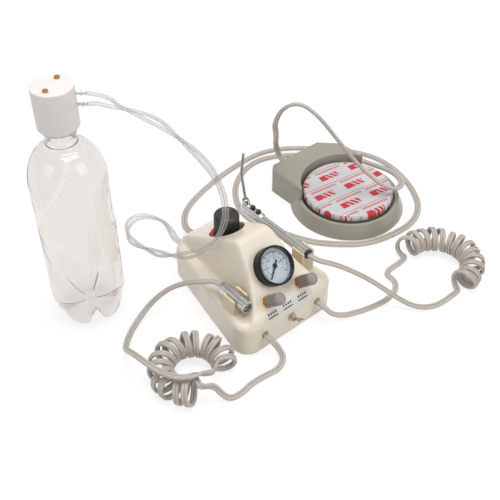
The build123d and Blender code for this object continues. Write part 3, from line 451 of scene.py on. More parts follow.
def case_top(x, y):
    """Height of the case over a point, in millimetres.

    Console plane z = y + console_rise and back slope meet in a rounded crest; the ridge's walls lean 10
    degrees and flare at the front; shoulders are 38 high; the top edge is rounded over 7.
    """
    console = y + console_rise
    back_slope = 94.0 - 0.56 * (y + 17)
    crest = soft_min(console, back_slope, 14)
    flare = 13 * np.clip((-38 - y) / 34, 0, 1) ** 1.6
    half = 38 - 11 * (y + 75) / 150 + flare
    ridge = soft_min(crest, 30 + (half - np.abs(x)) * 5.4, 20)
    shoulder, hollow = 38.0, 9 + 8 * np.clip((-20 - y) / 40, 0, 1)
    top = soft_min(soft_max(shoulder, ridge, hollow), console + 2.0, 4)
    edge = 7.0
    inside = np.clip(rim_distance(x, y) / edge, 0, 1)
    return top - edge * (1 - np.sqrt(1 - (1 - inside) ** 2))


angle = np.linspace(0, 2 * math.pi, 420, endpoint=False)
knob_y, opening = 26.0, 18.0
near, far = np.zeros_like(angle), np.full_like(angle, 130.0)
for _ in range(30):
    middle = (near + far) / 2
    inside = rim_distance(middle * np.cos(angle), knob_y + middle * np.sin(angle)) > 0
    near, far = np.where(inside, middle, near), np.where(inside, far, middle)
outline = near
share = 1 - (1 - np.linspace(0, 1, 170)) ** 1.5
reach = opening + (outline - opening) * share[:, None]
x, y = reach * np.cos(angle), knob_y + reach * np.sin(angle)
skin = np.stack([x, y, case_top(x, y)], axis=2)
hole = np.repeat(skin[:1], 4, axis=0)
hole[:, :, 2] -= np.array([9.0, 4.0, 1.2, 0.4])[:, None]
hole[:, :, :2] += (skin[:1, :, :2] - (0, knob_y)) * np.array([0.0, 0.0, 0.004, 0.012])[:, None, None]
skin[0, :, :2] += (skin[0, :, :2] - (0, knob_y)) * 0.03
skirt = np.repeat(skin[-1:], 12, axis=0)
fallen = np.linspace(0.04, 1, 12)[:, None]
skirt[:, :, 2] = skin[-1, :, 2] * (1 - fallen) + 1.5 * fallen
lip = np.repeat(skirt[-1:], 3, axis=0)
lip[:, :, :2] = (0, knob_y) + (lip[:, :, :2] - (0, knob_y)) * np.array([0.985, 0.965, 0.965])[:, None, None]
lip[:, :, 2] = np.array([1.5, 2.0, 12.0])[:, None]
case = surface("case_skin", np.r_[hole, skin, skirt, lip][:, ::-1] / 1000, capped=False)


def skinned(name, shade, tone, rough, grain, relief, patch=30.0, **sockets):
    """Material that drifts between two tones over `patch` mm, with a fine grain and relief in mm."""
    material, tree = empty_material(name)
    place = add(tree, "ShaderNodeTexCoord")
    drift = add(
        tree, "ShaderNodeTexNoise",
        {"Vector": place.outputs["Object"], "Scale": 1000 / patch, "Detail": 4.0},
    )
    tint = add(
        tree, "ShaderNodeMix", {"Factor": drift.outputs["Fac"], 6: srgb(shade), 7: srgb(tone)},
        data_type="RGBA",
    )
    pores = add(
        tree, "ShaderNodeTexNoise",
        {"Vector": place.outputs["Object"], "Scale": 1000 / grain, "Detail": 3.0},
    )
    raised = add(
        tree, "ShaderNodeBump",
        {"Height": pores.outputs["Fac"], "Strength": 0.35, "Distance": relief / 1000},
    )
    gloss = add(
        tree, "ShaderNodeMapRange",
        {"Value": drift.outputs["Fac"], "To Min": rough * 0.85, "To Max": rough * 1.15},
    )
    body = add(
        tree, "ShaderNodeBsdfPrincipled",
        {"Base Color": tint.outputs[2], "Roughness": gloss.outputs[0], "Normal": raised.outputs[0]},
    )
    for key, value in sockets.items():
        body.inputs[key.replace("_", " ")].default_value = value
    add(tree, "ShaderNodeOutputMaterial", {"Surface": body.outputs[0]})
    return material


def give(material, *nodes):
    """These CAD parts take that material."""
    for node in nodes:
        part = bpy.data.objects[node]
        part.data.materials.clear()
        part.data.materials.append(material)


# glossy moulded ABS: broad soft highlights, a very fine orange peel and a slow drift of tone
case_abs = skinned("moulded_cream_abs", "#E2D7C6", "#E8DFD0", 0.27, 1.6, 0.02, patch=60.0, IOR=1.53)
case.data.materials.append(case_abs)
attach(case, "unit")
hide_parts("case_shell")

give(skinned("pressed_steel_plate", "#AFA99D", "#B8B2A6", 0.5, 0.8, 0.02), "base_plate")
give(skinned("black_foam_pad", "#4B4845", "#5A5653", 0.9, 0.7, 0.15, patch=4.0), "rest_pad")
zinc = skinned("zinc_plated_steel", "#A9A9A6", "#C2C2BF", 0.28, 0.9, 0.01, patch=5.0, Metallic=1.0)
give(zinc, "base_screws", "pedal_spring", "regulator_stem")
cast = skinned("die_cast_zinc", "#8F8F8F", "#A6A6A5", 0.45, 0.6, 0.03, Metallic=1.0)
give(cast, "regulator_body", "manifold_block")

# ------------------------------------------------ tool clips
# Two spring clips of unpainted ABS that has yellowed, one on each shoulder.
yellowed = skinned("yellowed_abs", "#D3C7A4", "#DED4B6", 0.38, 1.4, 0.03, patch=12.0, IOR=1.53)
give(yellowed, "left_holder", "right_holder")

# ------------------------------------------------ pressure gauge
# A panel gauge of 40 mm: black enamelled steel case, printed tin dial, black pointer, clear
# acrylic glass. Its print is plain: a scale from 0 to 1, long and short ticks, and numerals.
black_enamel = skinned(
    "black_enamelled_steel", "#0B0A0A", "#141313", 0.30, 1.2, 0.01, patch=9.0, Specular_IOR_Level=0.18,
)
give(black_enamel, "gauge_case")
give(skinned("matt_black_pointer", "#141312", "#201E1C", 0.55, 0.5, 0.01), "gauge_needle")
give(skinned("pale_printed_tin", "#CBD2D9", "#D7DDE2", 0.45, 0.7, 0.005, patch=10.0), "gauge_dial")
brass = skinned("machined_brass", "#A97A3C", "#C89A58", 0.27, 0.5, 0.02, patch=4.0, Metallic=1.0)
give(
    brass, "gauge_movement", "air_valve_body", "water_valve_body", "air_valve_nut", "water_valve_nut",
    "cap_screws", "pedal_valve",
)
acrylic, tree = empty_material("clear_acrylic")
clear = add(tree, "ShaderNodeBsdfTransparent", {"Color": (0.97, 0.98, 0.99, 1)})
shine = add(tree, "ShaderNodeBsdfGlossy", {"Roughness": 0.03})
edge = add(tree, "ShaderNodeFresnel", {"IOR": 1.12})
both = add(tree, "ShaderNodeMixShader", {0: edge.outputs[0], 1: clear.outputs[0], 2: shine.outputs[0]})
add(tree, "ShaderNodeOutputMaterial", {"Surface": both.outputs[0]})
give(acrylic, "gauge_lens")


def on_console(x, y, local):
    """Points (across, up the slope, out of it) in millimetres, placed at (x, y) on the console, in metres."""
    slope = math.sqrt(0.5)
    directions = np.array([[1, 0, 0], [0, slope, slope], [0, -slope, slope]])
    return (np.array([x, y, y + console_rise]) + local @ directions) / 1000


gauge_y = -43.0
dial_face = 6.8


def dial_marks():
    """Quads on the dial: 51 radial ticks over 270 degrees and two arcs in 90 short steps."""
    quads = []
    for step in range(51):
        a = math.radians(225 - 270 * step / 50)
        inner, half = (11.2, 0.42) if step % 10 == 0 else (12.2, 0.30) if step % 5 == 0 else (13.0, 0.17)
        out, side = np.array([math.cos(a), math.sin(a)]), np.array([-math.sin(a), math.cos(a)])
        near, far, beside = out * inner, out * 14.6, side * half
        quads += [near - beside, far - beside, far + beside, near + beside]
    a = np.radians(np.linspace(225, -45, 91))
    for radius, half in ((14.7, 0.14), (9.6, 0.13), (10.5, 0.09)):
        ring = np.stack([np.cos(a), np.sin(a)], axis=1)
        low, high = ring * (radius - half), ring * (radius + half)
        quads += np.stack([low[:-1], high[:-1], high[1:], low[1:]], axis=1).reshape(-1, 2).tolist()
    return np.array(quads)


marks = dial_marks()
points = [np.c_[marks, np.zeros(len(marks))]]
faces = np.arange(len(marks)).reshape(-1, 4)[:, ::-1].tolist()
start = len(marks)
for step, digits in enumerate(("0", "0.2", "0.4", "0.6", "0.8", "1")):
    a = math.radians(225 - 54 * step)
    words = bpy.data.curves.new("digits", "FONT")
    words.body, words.size, words.align_x, words.align_y = digits, 3.0, "CENTER", "CENTER"
    words.offset = 0.03
    words.resolution_u = 2
    holder = bpy.data.objects.new("digits", words)
    flat = bpy.data.meshes.new_from_object(holder)
    spots = np.array([v.co[:] for v in flat.vertices])
    spots[:, :2] += 7.6 * np.array([math.cos(a), math.sin(a)])
    points.append(spots)
    faces += [[start + i for i in p.vertices] for p in flat.polygons]
    start += len(spots)
    bpy.data.objects.remove(holder)
    bpy.data.meshes.remove(flat)
print_mesh = bpy.data.meshes.new("dial_print")
local = np.concatenate(points)
local[:, 2] = dial_face + 0.06
print_mesh.from_pydata(on_console(0, gauge_y, local).tolist(), [], faces)
dial_print = bpy.data.objects.new("dial_print", print_mesh)
scene.collection.objects.link(dial_print)
dial_print.data.materials.append(skinned("black_dial_ink", "#1B1F24", "#272D34", 0.6, 0.4, 0.002))
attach(dial_print, "unit")

# the pointer: a long taper, a diamond hub and a short round-ended tail, stamped from one blank
blank = np.array([
    [-6.6, 0.1], [-6.4, 0.8], [-5.4, 1.15], [-4.3, 0.85], [-3.4, 0.75], [-2.6, 1.0], [-1.2, 2.2], [0, 2.7],
    [1.2, 2.2], [2.6, 1.0], [4.0, 0.8], [9.0, 0.6], [13.6, 0.38], [14.5, 0.1],
])
aim = math.radians(225)
along_it, beside = np.array([math.cos(aim), math.sin(aim), 0]), np.array([-math.sin(aim), math.cos(aim), 0])
thick = np.array([[-1.0, 0.0], [-0.86, 0.34], [0.86, 0.34], [1.0, 0.0], [0.86, -0.34], [-0.86, -0.34]])
grid = blank[:, None, 0:1] * along_it + blank[:, None, 1:2] * thick[None, :, 0:1] * beside
grid = grid + thick[None, :, 1:2] * np.array([0, 0, 1.0])
raised = grid + np.array([0, 0, dial_face + 1.1])
pointer = surface("gauge_pointer", on_console(0, gauge_y, raised.reshape(-1, 3)).reshape(grid.shape))
pointer.data.materials.append(bpy.data.materials["matt_black_pointer"])
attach(pointer, "needle")
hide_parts("gauge_needle")

# ------------------------------------------------ valve knobs
# Grey moulded thimbles pressed on the needle valves' stems: fine lengthwise ribs, rounded tip.
def turned(profile, columns, ribs, depth, ribbed):
    """Grid of a turned shape: rows of (radius, height), and `ribs` grooves of `depth` between two heights."""
    spin = np.linspace(0, 2 * math.pi, columns, endpoint=False)
    radius, height = np.array(profile, float).T
    fade = np.clip((height - ribbed[0]) / 0.8, 0, 1) * np.clip((ribbed[1] - height) / 1.2, 0, 1)
    cut = depth * fade[:, None] * (0.5 - 0.5 * np.cos(ribs * spin)) ** 0.7
    wide = radius[:, None] - np.minimum(cut, radius[:, None] * 0.5)
    tall = np.repeat(height[:, None], columns, axis=1)
    return np.stack([wide * np.cos(spin), wide * np.sin(spin), tall], axis=2)


def rounded_end(radius, top, round_r):
    """Profile rows from the side of a cylinder over a quarter round of `round_r` to its axis."""
    a = np.linspace(0, math.pi / 2, 10)
    rows = np.stack([radius - round_r + round_r * np.cos(a), top - round_r + round_r * np.sin(a)], axis=1)
    return rows.tolist() + [[(radius - round_r) * 0.5, top + 0.05], [0.05, top + 0.08]]


knob_grey = skinned("ribbed_grey_polyamide", "#7F7671", "#9A918A", 0.34, 0.5, 0.02, patch=6.0)
valve_x, valve_y = 21.0, -62.5
low, high = 5.3, 26.8
thimble = [[4.3, low + 0.3], [5.6, low], [6.05, low + 0.5]]
thimble += [[6.25, h] for h in np.linspace(low + 1.2, high - 4, 12)]
thimble += rounded_end(6.25, high, 3.4)
for name, side, body in (("air_thimble", -1, "air_knob"), ("water_thimble", 1, "water_knob")):
    grid = turned(thimble, 192, ribs=16, depth=0.95, ribbed=(low + 1.0, high - 3.4))
    knob = surface(name, on_console(side * valve_x, valve_y, grid))
    knob.data.materials.append(knob_grey)
    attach(knob, body)
    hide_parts(body)

# ------------------------------------------------ toggle switch
# Nickel plated bush and hexagon nut, and a flat bat lever that widens to a rounded tip.
nickel = skinned("nickel_plated_brass", "#A69B8D", "#CFC7BB", 0.36, 0.6, 0.02, patch=3.0, Metallic=1.0)
give(nickel, "toggle_body", "toggle_nut", "air_inlet")
bat = np.array([
    [0.9, 0.9, -1.6], [1.5, 1.4, 0], [1.5, 1.3, 3], [2.0, 1.1, 6], [2.7, 1.0, 9], [3.2, 1.0, 12],
    [3.0, 0.95, 13.6], [1.9, 0.7, 14.6],
])
spin = np.linspace(0, 2 * math.pi, 40, endpoint=False)
tilt = math.radians(28)
long = np.array([0, -math.cos(tilt), math.sin(tilt)])
over = np.array([0, math.sin(tilt), math.cos(tilt)])
pivot = np.array([0, -78.0, 21.5])
wide = bat[:, None, 0:1] * np.cos(spin)[None, :, None] * np.array([1.0, 0, 0])
thick = bat[:, None, 1:2] * np.sin(spin)[None, :, None] * over
grid = wide + thick + bat[:, None, 2:3] * long + pivot
lever = surface("bat_lever", grid / 1000)
lever.data.materials.append(nickel)
finer = lever.modifiers.new("rounded", "SUBSURF")
finer.levels = finer.render_levels = 2
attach(lever, "toggle")
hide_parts("toggle_lever")

# ------------------------------------------------ regulator knob
# Black ribbed knob over a red locking ring, seen in the round opening behind the crest.
knob_black = skinned("ribbed_black_acetal", "#1F1E1D", "#33312F", 0.36, 0.6, 0.03, patch=8.0)
low, high = 61.2, 91.0
drum_r, round_r = 13.2, 3.2
drum = [[11.5, low], [12.9, low], [drum_r, low + 0.5]]
drum += [[drum_r, h] for h in np.linspace(low + 1.5, high - 4, 14)]
corner = np.linspace(0.2, math.pi / 2, 8)
drum += [[drum_r - round_r + round_r * math.cos(a), high - round_r + round_r * math.sin(a)] for a in corner]
drum += [[8.6, high - 0.1], [8.0, high - 0.7], [4.0, high - 0.8], [0.1, high - 0.8]]
grid = turned(drum, 288, ribs=36, depth=0.55, ribbed=(low + 2, high - 2.5)) + np.array([0, knob_y, 0])
knob = surface("regulator_drum", grid / 1000)
knob.data.materials.append(knob_black)
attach(knob, "regulator_knob")
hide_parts("regulator_knob")
give(skinned("moulded_red_abs", "#B01F26", "#C12C30", 0.3, 0.8, 0.01, patch=9.0), "regulator_ring")

# ------------------------------------------------ label
# Printed polyester strip on the rounded front edge: three groups of four dots over a thin line.
across = np.linspace(-29, 29, 117)
down = np.linspace(-69.3, -73.9, 20)
x, y = np.meshgrid(across, down, indexing="xy")
grid = np.stack([x, y, case_top(x, y) + 0.13], axis=2)
strip = surface(
    "label_film_strip", grid[::-1] / 1000, closed=False, capped=False,
    uv=(np.linspace(0, 1, 118), np.linspace(0, 1, 20)),
)
film, tree = empty_material("printed_polyester_film")
place = add(tree, "ShaderNodeTexCoord")
uv = add(tree, "ShaderNodeSeparateXYZ", {0: place.outputs["UV"]})
run = add(tree, "ShaderNodeMath", {0: uv.outputs["X"], 1: 58 / 19.3}, operation="MULTIPLY")
run = add(tree, "ShaderNodeMath", {0: run.outputs[0]}, operation="FRACT")
group = add(tree, "ShaderNodeMath", {0: run.outputs[0], 1: 0.62}, operation="LESS_THAN")
cell = add(tree, "ShaderNodeMath", {0: run.outputs[0], 1: 4 / 0.62}, operation="MULTIPLY")
cell = add(tree, "ShaderNodeMath", {0: cell.outputs[0]}, operation="FRACT")
dx = add(tree, "ShaderNodeMath", {0: cell.outputs[0], 1: -0.5}, operation="ADD")
dx = add(tree, "ShaderNodeMath", {0: dx.outputs[0], 1: 3.0}, operation="MULTIPLY")
dy = add(tree, "ShaderNodeMath", {0: uv.outputs["Y"], 1: -0.55}, operation="ADD")
dy = add(tree, "ShaderNodeMath", {0: dy.outputs[0], 1: 5.6}, operation="MULTIPLY")
spot = add(tree, "ShaderNodeCombineXYZ", {0: dx.outputs[0], 1: dy.outputs[0]})
far_off = add(tree, "ShaderNodeVectorMath", {0: spot.outputs[0]}, operation="LENGTH")
dot = add(tree, "ShaderNodeMath", {0: far_off.outputs["Value"], 1: 0.95}, operation="LESS_THAN")
dot = add(tree, "ShaderNodeMath", {0: dot.outputs[0], 1: group.outputs[0]}, operation="MULTIPLY")
rule = add(tree, "ShaderNodeMath", {0: uv.outputs["Y"], 1: 0.12}, operation="SUBTRACT")
rule = add(tree, "ShaderNodeMath", {0: rule.outputs[0]}, operation="ABSOLUTE")
rule = add(tree, "ShaderNodeMath", {0: rule.outputs[0], 1: 0.06}, operation="LESS_THAN")
rule = add(tree, "ShaderNodeMath", {0: rule.outputs[0], 1: group.outputs[0]}, operation="MULTIPLY")
ink = add(tree, "ShaderNodeMath", {0: dot.outputs[0], 1: rule.outputs[0]}, operation="MAXIMUM")
tint = add(
    tree, "ShaderNodeMix", {"Factor": ink.outputs[0], 6: srgb("#D5D6D2"), 7: srgb("#23282D")},
    data_type="RGBA",
)
body = add(tree, "ShaderNodeBsdfPrincipled", {"Base Color": tint.outputs[2], "Roughness": 0.35})
add(tree, "ShaderNodeOutputMaterial", {"Surface": body.outputs[0]})
strip.data.materials.append(film)
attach(strip, "unit")
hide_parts("label_strip")


# ------------------------------------------------ water bottle
# Blown PET bottle: five-footed base, a long plain body, domed shoulder and a neck with its
# carrying ring. Its thin wall is a little wavy, as an emptied bottle's is.
bottle_x, bottle_y = -134.0, 88.0
spin = np.linspace(0, 2 * math.pi, 150, endpoint=False)
reach = np.linspace(0.2, 36.5, 44)
foot = np.abs(np.cos(2.5 * spin)) ** 0.8
foot = foot * foot * (3 - 2 * foot)
dome = 9 + 20 * (reach / 37.5) ** 2
toe = 9 * (1 - np.clip((reach - 5) / 19, 0, 1) ** 1.3) + 29 * np.clip((reach - 27) / 10.5, 0, 1) ** 2.0
base = np.stack([
    reach[:, None] * np.cos(spin), reach[:, None] * np.sin(spin),
    dome[:, None] * (1 - foot) + toe[:, None] * foot,
], axis=2)
height = np.r_[np.linspace(31, 160, 70), np.linspace(162, 203, 26), np.linspace(205, 221, 14)]
rise = np.clip((height - 163) / 41, 0, 1)
waist = 37.3 - 23.8 * (1 - np.sqrt(np.clip(1 - rise**2.1, 0, 1))) ** 0.93
waist = np.where(height > 204, 13.4, waist)
waist = waist + 2.4 * np.exp(-(((height - 209) / 1.2) ** 2)) + 0.9 * np.exp(-(((height - 216) / 0.9) ** 2))
calm = np.clip((height - 30) / 25, 0, 1) * np.clip((175 - height) / 30, 0, 1)
wave = 0.5 * np.sin(2 * spin[None, :] + height[:, None] / 34)
wave = wave + 0.35 * np.sin(3 * spin[None, :] - height[:, None] / 19 + 1)
low_down = np.exp(-(((height[:, None] - 70) / 30) ** 2))
wave = wave + 0.3 * np.sin(5 * spin[None, :] + height[:, None] / 11) * low_down
wide = waist[:, None] + (wave - 0.75) * calm[:, None]
tall = np.repeat(height[:, None], len(spin), axis=1)
wall = np.stack([wide * np.cos(spin), wide * np.sin(spin), tall], axis=2)
grid = np.r_[base, wall] + np.array([bottle_x, bottle_y, 0.1])
bottle = surface("pet_bottle", grid / 1000, capped=False)
blown = bottle.modifiers.new("wall", "SOLIDIFY")
blown.thickness, blown.offset = 0.0006, -1.0

# clear PET: water-white, bright rims and dark edges where the wall is seen along its length
pet, tree = empty_material("blown_clear_pet")
place = add(tree, "ShaderNodeTexCoord")
waves = add(tree, "ShaderNodeTexNoise", {"Vector": place.outputs["Object"], "Scale": 32.0, "Detail": 2.0})
ripple = add(tree, "ShaderNodeBump", {"Height": waves.outputs["Fac"], "Strength": 0.5, "Distance": 0.002})
body = add(tree, "ShaderNodeBsdfPrincipled", {
    "Base Color": srgb("#F1EEEC"), "Roughness": 0.03, "Transmission Weight": 1.0, "IOR": 1.38,
    "Normal": ripple.outputs[0],
})
add(tree, "ShaderNodeOutputMaterial", {"Surface": body.outputs[0]})
bottle.data.materials.append(pet)
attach(bottle, "bottle")
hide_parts("bottle")

# ------------------------------------------------ bottle cap
# Turned from white polypropylene and left frosted; two brass screws, two plated hose barbs.
cap_frost = skinned(
    "frosted_polypropylene", "#E1DEDB", "#EAE7E4", 0.5, 0.9, 0.05, patch=16.0, Subsurface_Weight=0.5,
)
cap_frost.node_tree.nodes["Principled BSDF"].inputs["Subsurface Scale"].default_value = 0.004
give(cap_frost, "bottle_cap")
chrome = skinned("polished_chrome", "#C4C4C4", "#D8D8D8", 0.15, 1.5, 0.004, patch=7.0, Metallic=1.0)
give(chrome, "cap_barbs")
give(zinc, "cap_ring")

# ------------------------------------------------ water tubes
# Two clear polyurethane tubes, one on each barb, twisted round each other all the way to the
# gland at the back of the box. The stiffer dip tube curves inside the bottle.
tube_pu, tree = empty_material("clear_polyurethane")
see = add(tree, "ShaderNodeBsdfTransparent", {"Color": (0.95, 0.95, 0.945, 1)})
milk = add(
    tree, "ShaderNodeBsdfPrincipled", {"Base Color": srgb("#CBC7C2"), "Roughness": 0.14, "IOR": 1.45},
)
rim = add(tree, "ShaderNodeLayerWeight", {"Blend": 0.42})
much = add(tree, "ShaderNodeMapRange", {"Value": rim.outputs["Facing"], "To Min": 0.14, "To Max": 0.90})
both = add(tree, "ShaderNodeMixShader", {0: much.outputs[0], 1: see.outputs[0], 2: milk.outputs[0]})
add(tree, "ShaderNodeOutputMaterial", {"Surface": both.outputs[0]})
spin = np.linspace(0, 2 * math.pi, 14, endpoint=False)
round_tube = np.stack([np.cos(spin), np.sin(spin)], axis=1)
tube_r = 0.0018
pair_route = laid([
    (-112.5, 70.0, 250.5), (-105.6, 64.2, 250.5), (-96, 57, 245), (-88, 56, 238), (-73, 48, 228),
    (-58, 43, 215), (-43, 37, 196), (-28, 32, 174), (-16, 27, 153), (-10, 20, 132), (-11, 12, 112),
    (-17, 8, 96), (-28, 9, 81), (-42, 18, 68), (-51, 34, 57), (-55, 54, 46), (-56, 76, 35), (-56, 100, 25),
    (-54, 126, 15), (-47, 151, 7), (-33, 168, 5), (-17, 170, 5), (-6, 157, 6), (-4, 137, 10),
    (-10, 116, 15), (-18, 95, 20), (-18, 83, 20),
])
pair = smooth_line(pair_route, 0.002)
gone = np.r_[0, np.cumsum(np.linalg.norm(np.diff(pair, axis=0), axis=1))]
ahead = unit(np.gradient(pair, axis=0))
side = unit(np.cross(ahead, (0, 0, 1.0)))
over = np.cross(side, ahead)
turn = 2 * math.pi * gone / 0.135 + 0.5 * np.sin(gone * 22)
apart = 0.0021 + 0.0005 * np.sin(gone * 18) ** 2 + 0.0034 * np.exp(-gone / 0.016)
turn = math.pi / 2 + turn * np.clip(gone / 0.03, 0, 1)
for name, half_turn in (("water_tube", 0.0), ("air_tube", math.pi)):
    round_it = np.cos(turn + half_turn)[:, None] * side + np.sin(turn + half_turn)[:, None] * over
    twist = pair + apart[:, None] * round_it
    twist[:, 2] = np.maximum(twist[:, 2], 0.0021)
    tube = surface(name, along_path(twist, level(twist), round_tube * tube_r))
    tube.data.materials.append(tube_pu)
    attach(tube, "unit")
    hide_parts("bottle_tubes")

dip_pe, tree = empty_material("natural_polyethylene_painted_glow")
see = add(tree, "ShaderNodeBsdfTransparent", {"Color": (0.97, 0.97, 0.965, 1)})
# painted light: an emission of 0.62 makes the dip tube glow pale, though it is no lamp
milk = add(tree, "ShaderNodeBsdfPrincipled", {
    "Base Color": srgb("#F0EEEB"), "Roughness": 0.2, "Emission Color": srgb("#D8D4D0"),
    "Emission Strength": 0.62,
})
rim = add(tree, "ShaderNodeLayerWeight", {"Blend": 0.40})
much = add(tree, "ShaderNodeMapRange", {"Value": rim.outputs["Facing"], "To Min": 0.12, "To Max": 0.9})
both = add(tree, "ShaderNodeMixShader", {0: much.outputs[0], 1: see.outputs[0], 2: milk.outputs[0]})
add(tree, "ShaderNodeOutputMaterial", {"Surface": both.outputs[0]})
dip = smooth_line(laid([
    (-134, 88, 243), (-134, 88, 205), (-132, 87, 180), (-140, 93, 157), (-151, 102, 136), (-157, 107, 112),
    (-156, 106, 90), (-146, 98, 74), (-132, 87, 67),
]), 0.002)
side = np.repeat([[0.66, -0.75, 0.0]], len(dip), axis=0)
tube = surface("dip_pipe", along_path(dip, side, round_tube * tube_r))
tube.data.materials.append(dip_pe)
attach(tube, "unit")
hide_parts("dip_tube")

# ------------------------------------------------ foot pedal
# Round ABS housing with a square block at its back, a rubber foot, and a disc under a
# protective film that is printed with a plain repeating pattern and wraps over the disc's edge.
pedal_abs = skinned("moulded_warm_grey_abs", "#9A968A", "#A29E92", 0.21, 1.2, 0.03, patch=45.0, IOR=1.53)
give(pedal_abs, "pedal_housing")
give(skinned("black_foot_rubber", "#3F3E3C", "#4E4D4A", 0.8, 0.8, 0.1, patch=6.0), "pedal_base")
gland_pvc = skinned("grey_gland_pvc", "#9C948C", "#ACA49B", 0.5, 0.9, 0.03, patch=5.0)
give(gland_pvc, "pedal_gland", "back_glands", "front_gland_left", "front_gland_right")
give(skinned("dark_disc_abs", "#77746B", "#85827A", 0.36, 1.0, 0.02, patch=12.0), "pedal_disc")

pedal_x, pedal_y = 189.0, 33.0
spin = np.linspace(0, 2 * math.pi, 260, endpoint=False)
reach = np.r_[np.linspace(0.3, 49, 90), np.linspace(49.5, 52.6, 12), np.full(7, 52.9)]
fold = 2.9 * (1 - np.sqrt(np.clip(1 - np.linspace(0, 1, 12) ** 2, 0, 1)))
drop = np.r_[np.zeros(90), fold, 2.9 + np.linspace(0.5, 4.2, 7)]
outer = np.clip((reach[:, None] - 38) / 12, 0, 1)
crease = 0.10 * np.sin(3 * spin + 1) + 0.12 * np.sin(17 * spin + 2 * np.sin(3 * spin)) * outer
gathered = np.clip((reach[:, None] - 50) / 2, 0, 1)
crease = crease + 0.5 * np.abs(np.sin(23 * spin + np.sin(5 * spin))) * gathered
blister = 0.14 * np.sin(reach[:, None] / 3.1 + 4 * np.cos(spin)) * np.clip(reach[:, None] / 30, 0, 1)
wide = reach[:, None] + 0.45 * np.sin(31 * spin) * np.clip((reach[:, None] - 52) / 0.9, 0, 1)
tall = 24.0 - drop[:, None] + 0.5 * crease + 0.4 * blister
grid = np.stack([pedal_x + wide * np.cos(spin), pedal_y + wide * np.sin(spin), tall], axis=2)
cover = surface("tread_film", grid[::-1] / 1000, capped=False)
film, tree = empty_material("printed_protective_film")
place = add(tree, "ShaderNodeTexCoord")
turned_to = add(tree, "ShaderNodeMapping", {
    "Vector": place.outputs["Object"], "Rotation": (0, 0, math.radians(8)), "Scale": (1000, 1000, 1000),
})
wrinkle = add(tree, "ShaderNodeTexNoise", {"Vector": place.outputs["Object"], "Scale": 55.0, "Detail": 3.0})
# rows 27 mm apart, each shifted 17 mm along from the one before
at = add(tree, "ShaderNodeSeparateXYZ", {0: turned_to.outputs[0]})
row = add(tree, "ShaderNodeMath", {0: at.outputs["Y"], 1: 27.0}, operation="DIVIDE")
line = add(tree, "ShaderNodeMath", {0: row.outputs[0]}, operation="FRACT")
shift = add(tree, "ShaderNodeMath", {0: row.outputs[0]}, operation="FLOOR")
shift = add(tree, "ShaderNodeMath", {0: shift.outputs[0], 1: 17.0}, operation="MULTIPLY")
ran = add(tree, "ShaderNodeMath", {0: at.outputs["X"], 1: shift.outputs[0]}, operation="ADD")
slant = add(tree, "ShaderNodeMath", {0: at.outputs["Y"], 1: 0.55}, operation="MULTIPLY")
slant = add(tree, "ShaderNodeMath", {0: ran.outputs[0], 1: slant.outputs[0]}, operation="ADD")
# a bold, a small and a thin band in each row: the middle and the half width as shares of the row
bands = []
for middle, half in ((0.28, 0.17), (0.68, 0.055), (0.84, 0.02)):
    off = add(tree, "ShaderNodeMath", {0: line.outputs[0], 1: middle}, operation="SUBTRACT")
    off = add(tree, "ShaderNodeMath", {0: off.outputs[0]}, operation="ABSOLUTE")
    bands.append(add(tree, "ShaderNodeMath", {0: off.outputs[0], 1: half}, operation="LESS_THAN"))
bold, small, thin = bands
# what breaks the bands up: a period in mm, and the share of it that is inked
breaks = []
for source, period, inked in (
    (slant, 6.1, 0.66), (ran, 43.0, 0.60), (ran, 43.0, 0.20),
    (ran, 2.9, 0.62), (ran, 43.0, 0.86), (ran, 1.7, 0.70),
):
    part = add(tree, "ShaderNodeMath", {0: source.outputs[0], 1: period}, operation="DIVIDE")
    part = add(tree, "ShaderNodeMath", {0: part.outputs[0]}, operation="FRACT")
    breaks.append(add(tree, "ShaderNodeMath", {0: part.outputs[0], 1: inked}, operation="LESS_THAN"))
strokes, words, badges, dashes, phrases, ticks = breaks
ink = None
for factors in ((bold, words, strokes), (bold, badges), (small, dashes, phrases), (thin, ticks)):
    mark = factors[0]
    for other in factors[1:]:
        mark = add(tree, "ShaderNodeMath", {0: mark.outputs[0], 1: other.outputs[0]}, operation="MULTIPLY")
    ink = mark if ink is None else add(
        tree, "ShaderNodeMath", {0: ink.outputs[0], 1: mark.outputs[0]}, operation="MAXIMUM",
    )
silver = add(
    tree, "ShaderNodeMix", {"Factor": wrinkle.outputs["Fac"], 6: srgb("#BDBCBF"), 7: srgb("#D6D5D8")},
    data_type="RGBA",
)
tint = add(
    tree, "ShaderNodeMix", {"Factor": ink.outputs[0], 6: silver.outputs[2], 7: srgb("#C32530")},
    data_type="RGBA",
)
crumple = add(
    tree, "ShaderNodeBump", {"Height": wrinkle.outputs["Fac"], "Strength": 0.5, "Distance": 0.0015},
)
body = add(
    tree, "ShaderNodeBsdfPrincipled",
    {"Base Color": tint.outputs[2], "Roughness": 0.24, "Normal": crumple.outputs[0], "IOR": 1.5},
)
add(tree, "ShaderNodeOutputMaterial", {"Surface": body.outputs[0]})
cover.data.materials.append(film)
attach(cover, "tread")
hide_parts("pedal_film")
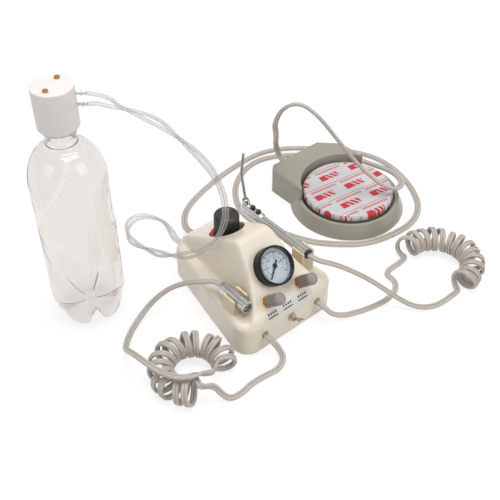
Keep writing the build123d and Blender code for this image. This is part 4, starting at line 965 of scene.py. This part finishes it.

# ------------------------------------------------ three-way syringe and coupling
# Brass, turned, polished and chromed. The syringe has a black ring at its tail and two black buttons; the
# coupling ends in a grooved nut round a pale seat whose four holes are painted near-black as shade, and which
# is near-black in the groove beyond 3.7 mm from its middle.
black_rubber = skinned("black_silicone", "#1D1C1B", "#2C2B29", 0.5, 0.8, 0.02, patch=3.0)
give(chrome, "syringe_body", "nozzle_nut", "coupling_body", "coupling_nut")
give(black_rubber, "syringe_tail_ring", "air_button", "water_button")
seat, tree = empty_material("polished_four_hole_seat")
place = add(tree, "ShaderNodeTexCoord")
seat_middle = (-0.044, 0, 0.051)
holes = None
for across, up, radius in ((-2.3, 0.9, 1.25), (2.1, 1.2, 1.5), (-0.6, -2.2, 0.9), (1.6, -2.0, 0.9)):
    middle = (seat_middle[0] + across / 1000, 0, seat_middle[2] + up / 1000)
    spot = add(tree, "ShaderNodeVectorMath", {0: place.outputs["Object"], 1: middle}, operation="SUBTRACT")
    spot = add(tree, "ShaderNodeVectorMath", {0: spot.outputs[0], 1: (1000, 0, 1000)}, operation="MULTIPLY")
    spot = add(tree, "ShaderNodeVectorMath", {0: spot.outputs[0]}, operation="LENGTH")
    inside = add(tree, "ShaderNodeMath", {0: spot.outputs["Value"], 1: radius}, operation="LESS_THAN")
    holes = inside if holes is None else add(
        tree, "ShaderNodeMath", {0: holes.outputs[0], 1: inside.outputs[0]}, operation="MAXIMUM",
    )
spot = add(tree, "ShaderNodeVectorMath", {0: place.outputs["Object"], 1: seat_middle}, operation="SUBTRACT")
spot = add(tree, "ShaderNodeVectorMath", {0: spot.outputs[0], 1: (1000, 0, 1000)}, operation="MULTIPLY")
spot = add(tree, "ShaderNodeVectorMath", {0: spot.outputs[0]}, operation="LENGTH")
groove = add(tree, "ShaderNodeMath", {0: spot.outputs["Value"], 1: 3.7}, operation="GREATER_THAN")
# painted shade: the four holes, and the groove beyond 3.7 mm, take near-black #0C0C0C
hole_shade_and_groove = add(tree, "ShaderNodeMath", {0: holes.outputs[0], 1: groove.outputs[0]}, operation="MAXIMUM")
tint = add(
    tree, "ShaderNodeMix", {"Factor": hole_shade_and_groove.outputs[0], 6: srgb("#DEDCD9"), 7: srgb("#0C0C0C")},
    data_type="RGBA",
)
body = add(tree, "ShaderNodeBsdfPrincipled", {"Base Color": tint.outputs[2], "Roughness": 0.3})
add(tree, "ShaderNodeOutputMaterial", {"Surface": body.outputs[0]})
give(seat, "coupling_gasket")
steel = skinned("drawn_steel_tube", "#9B9B9C", "#B4B4B4", 0.2, 0.8, 0.005, patch=5.0, Metallic=1.0)
give(steel, "syringe_nozzle")


low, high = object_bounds()
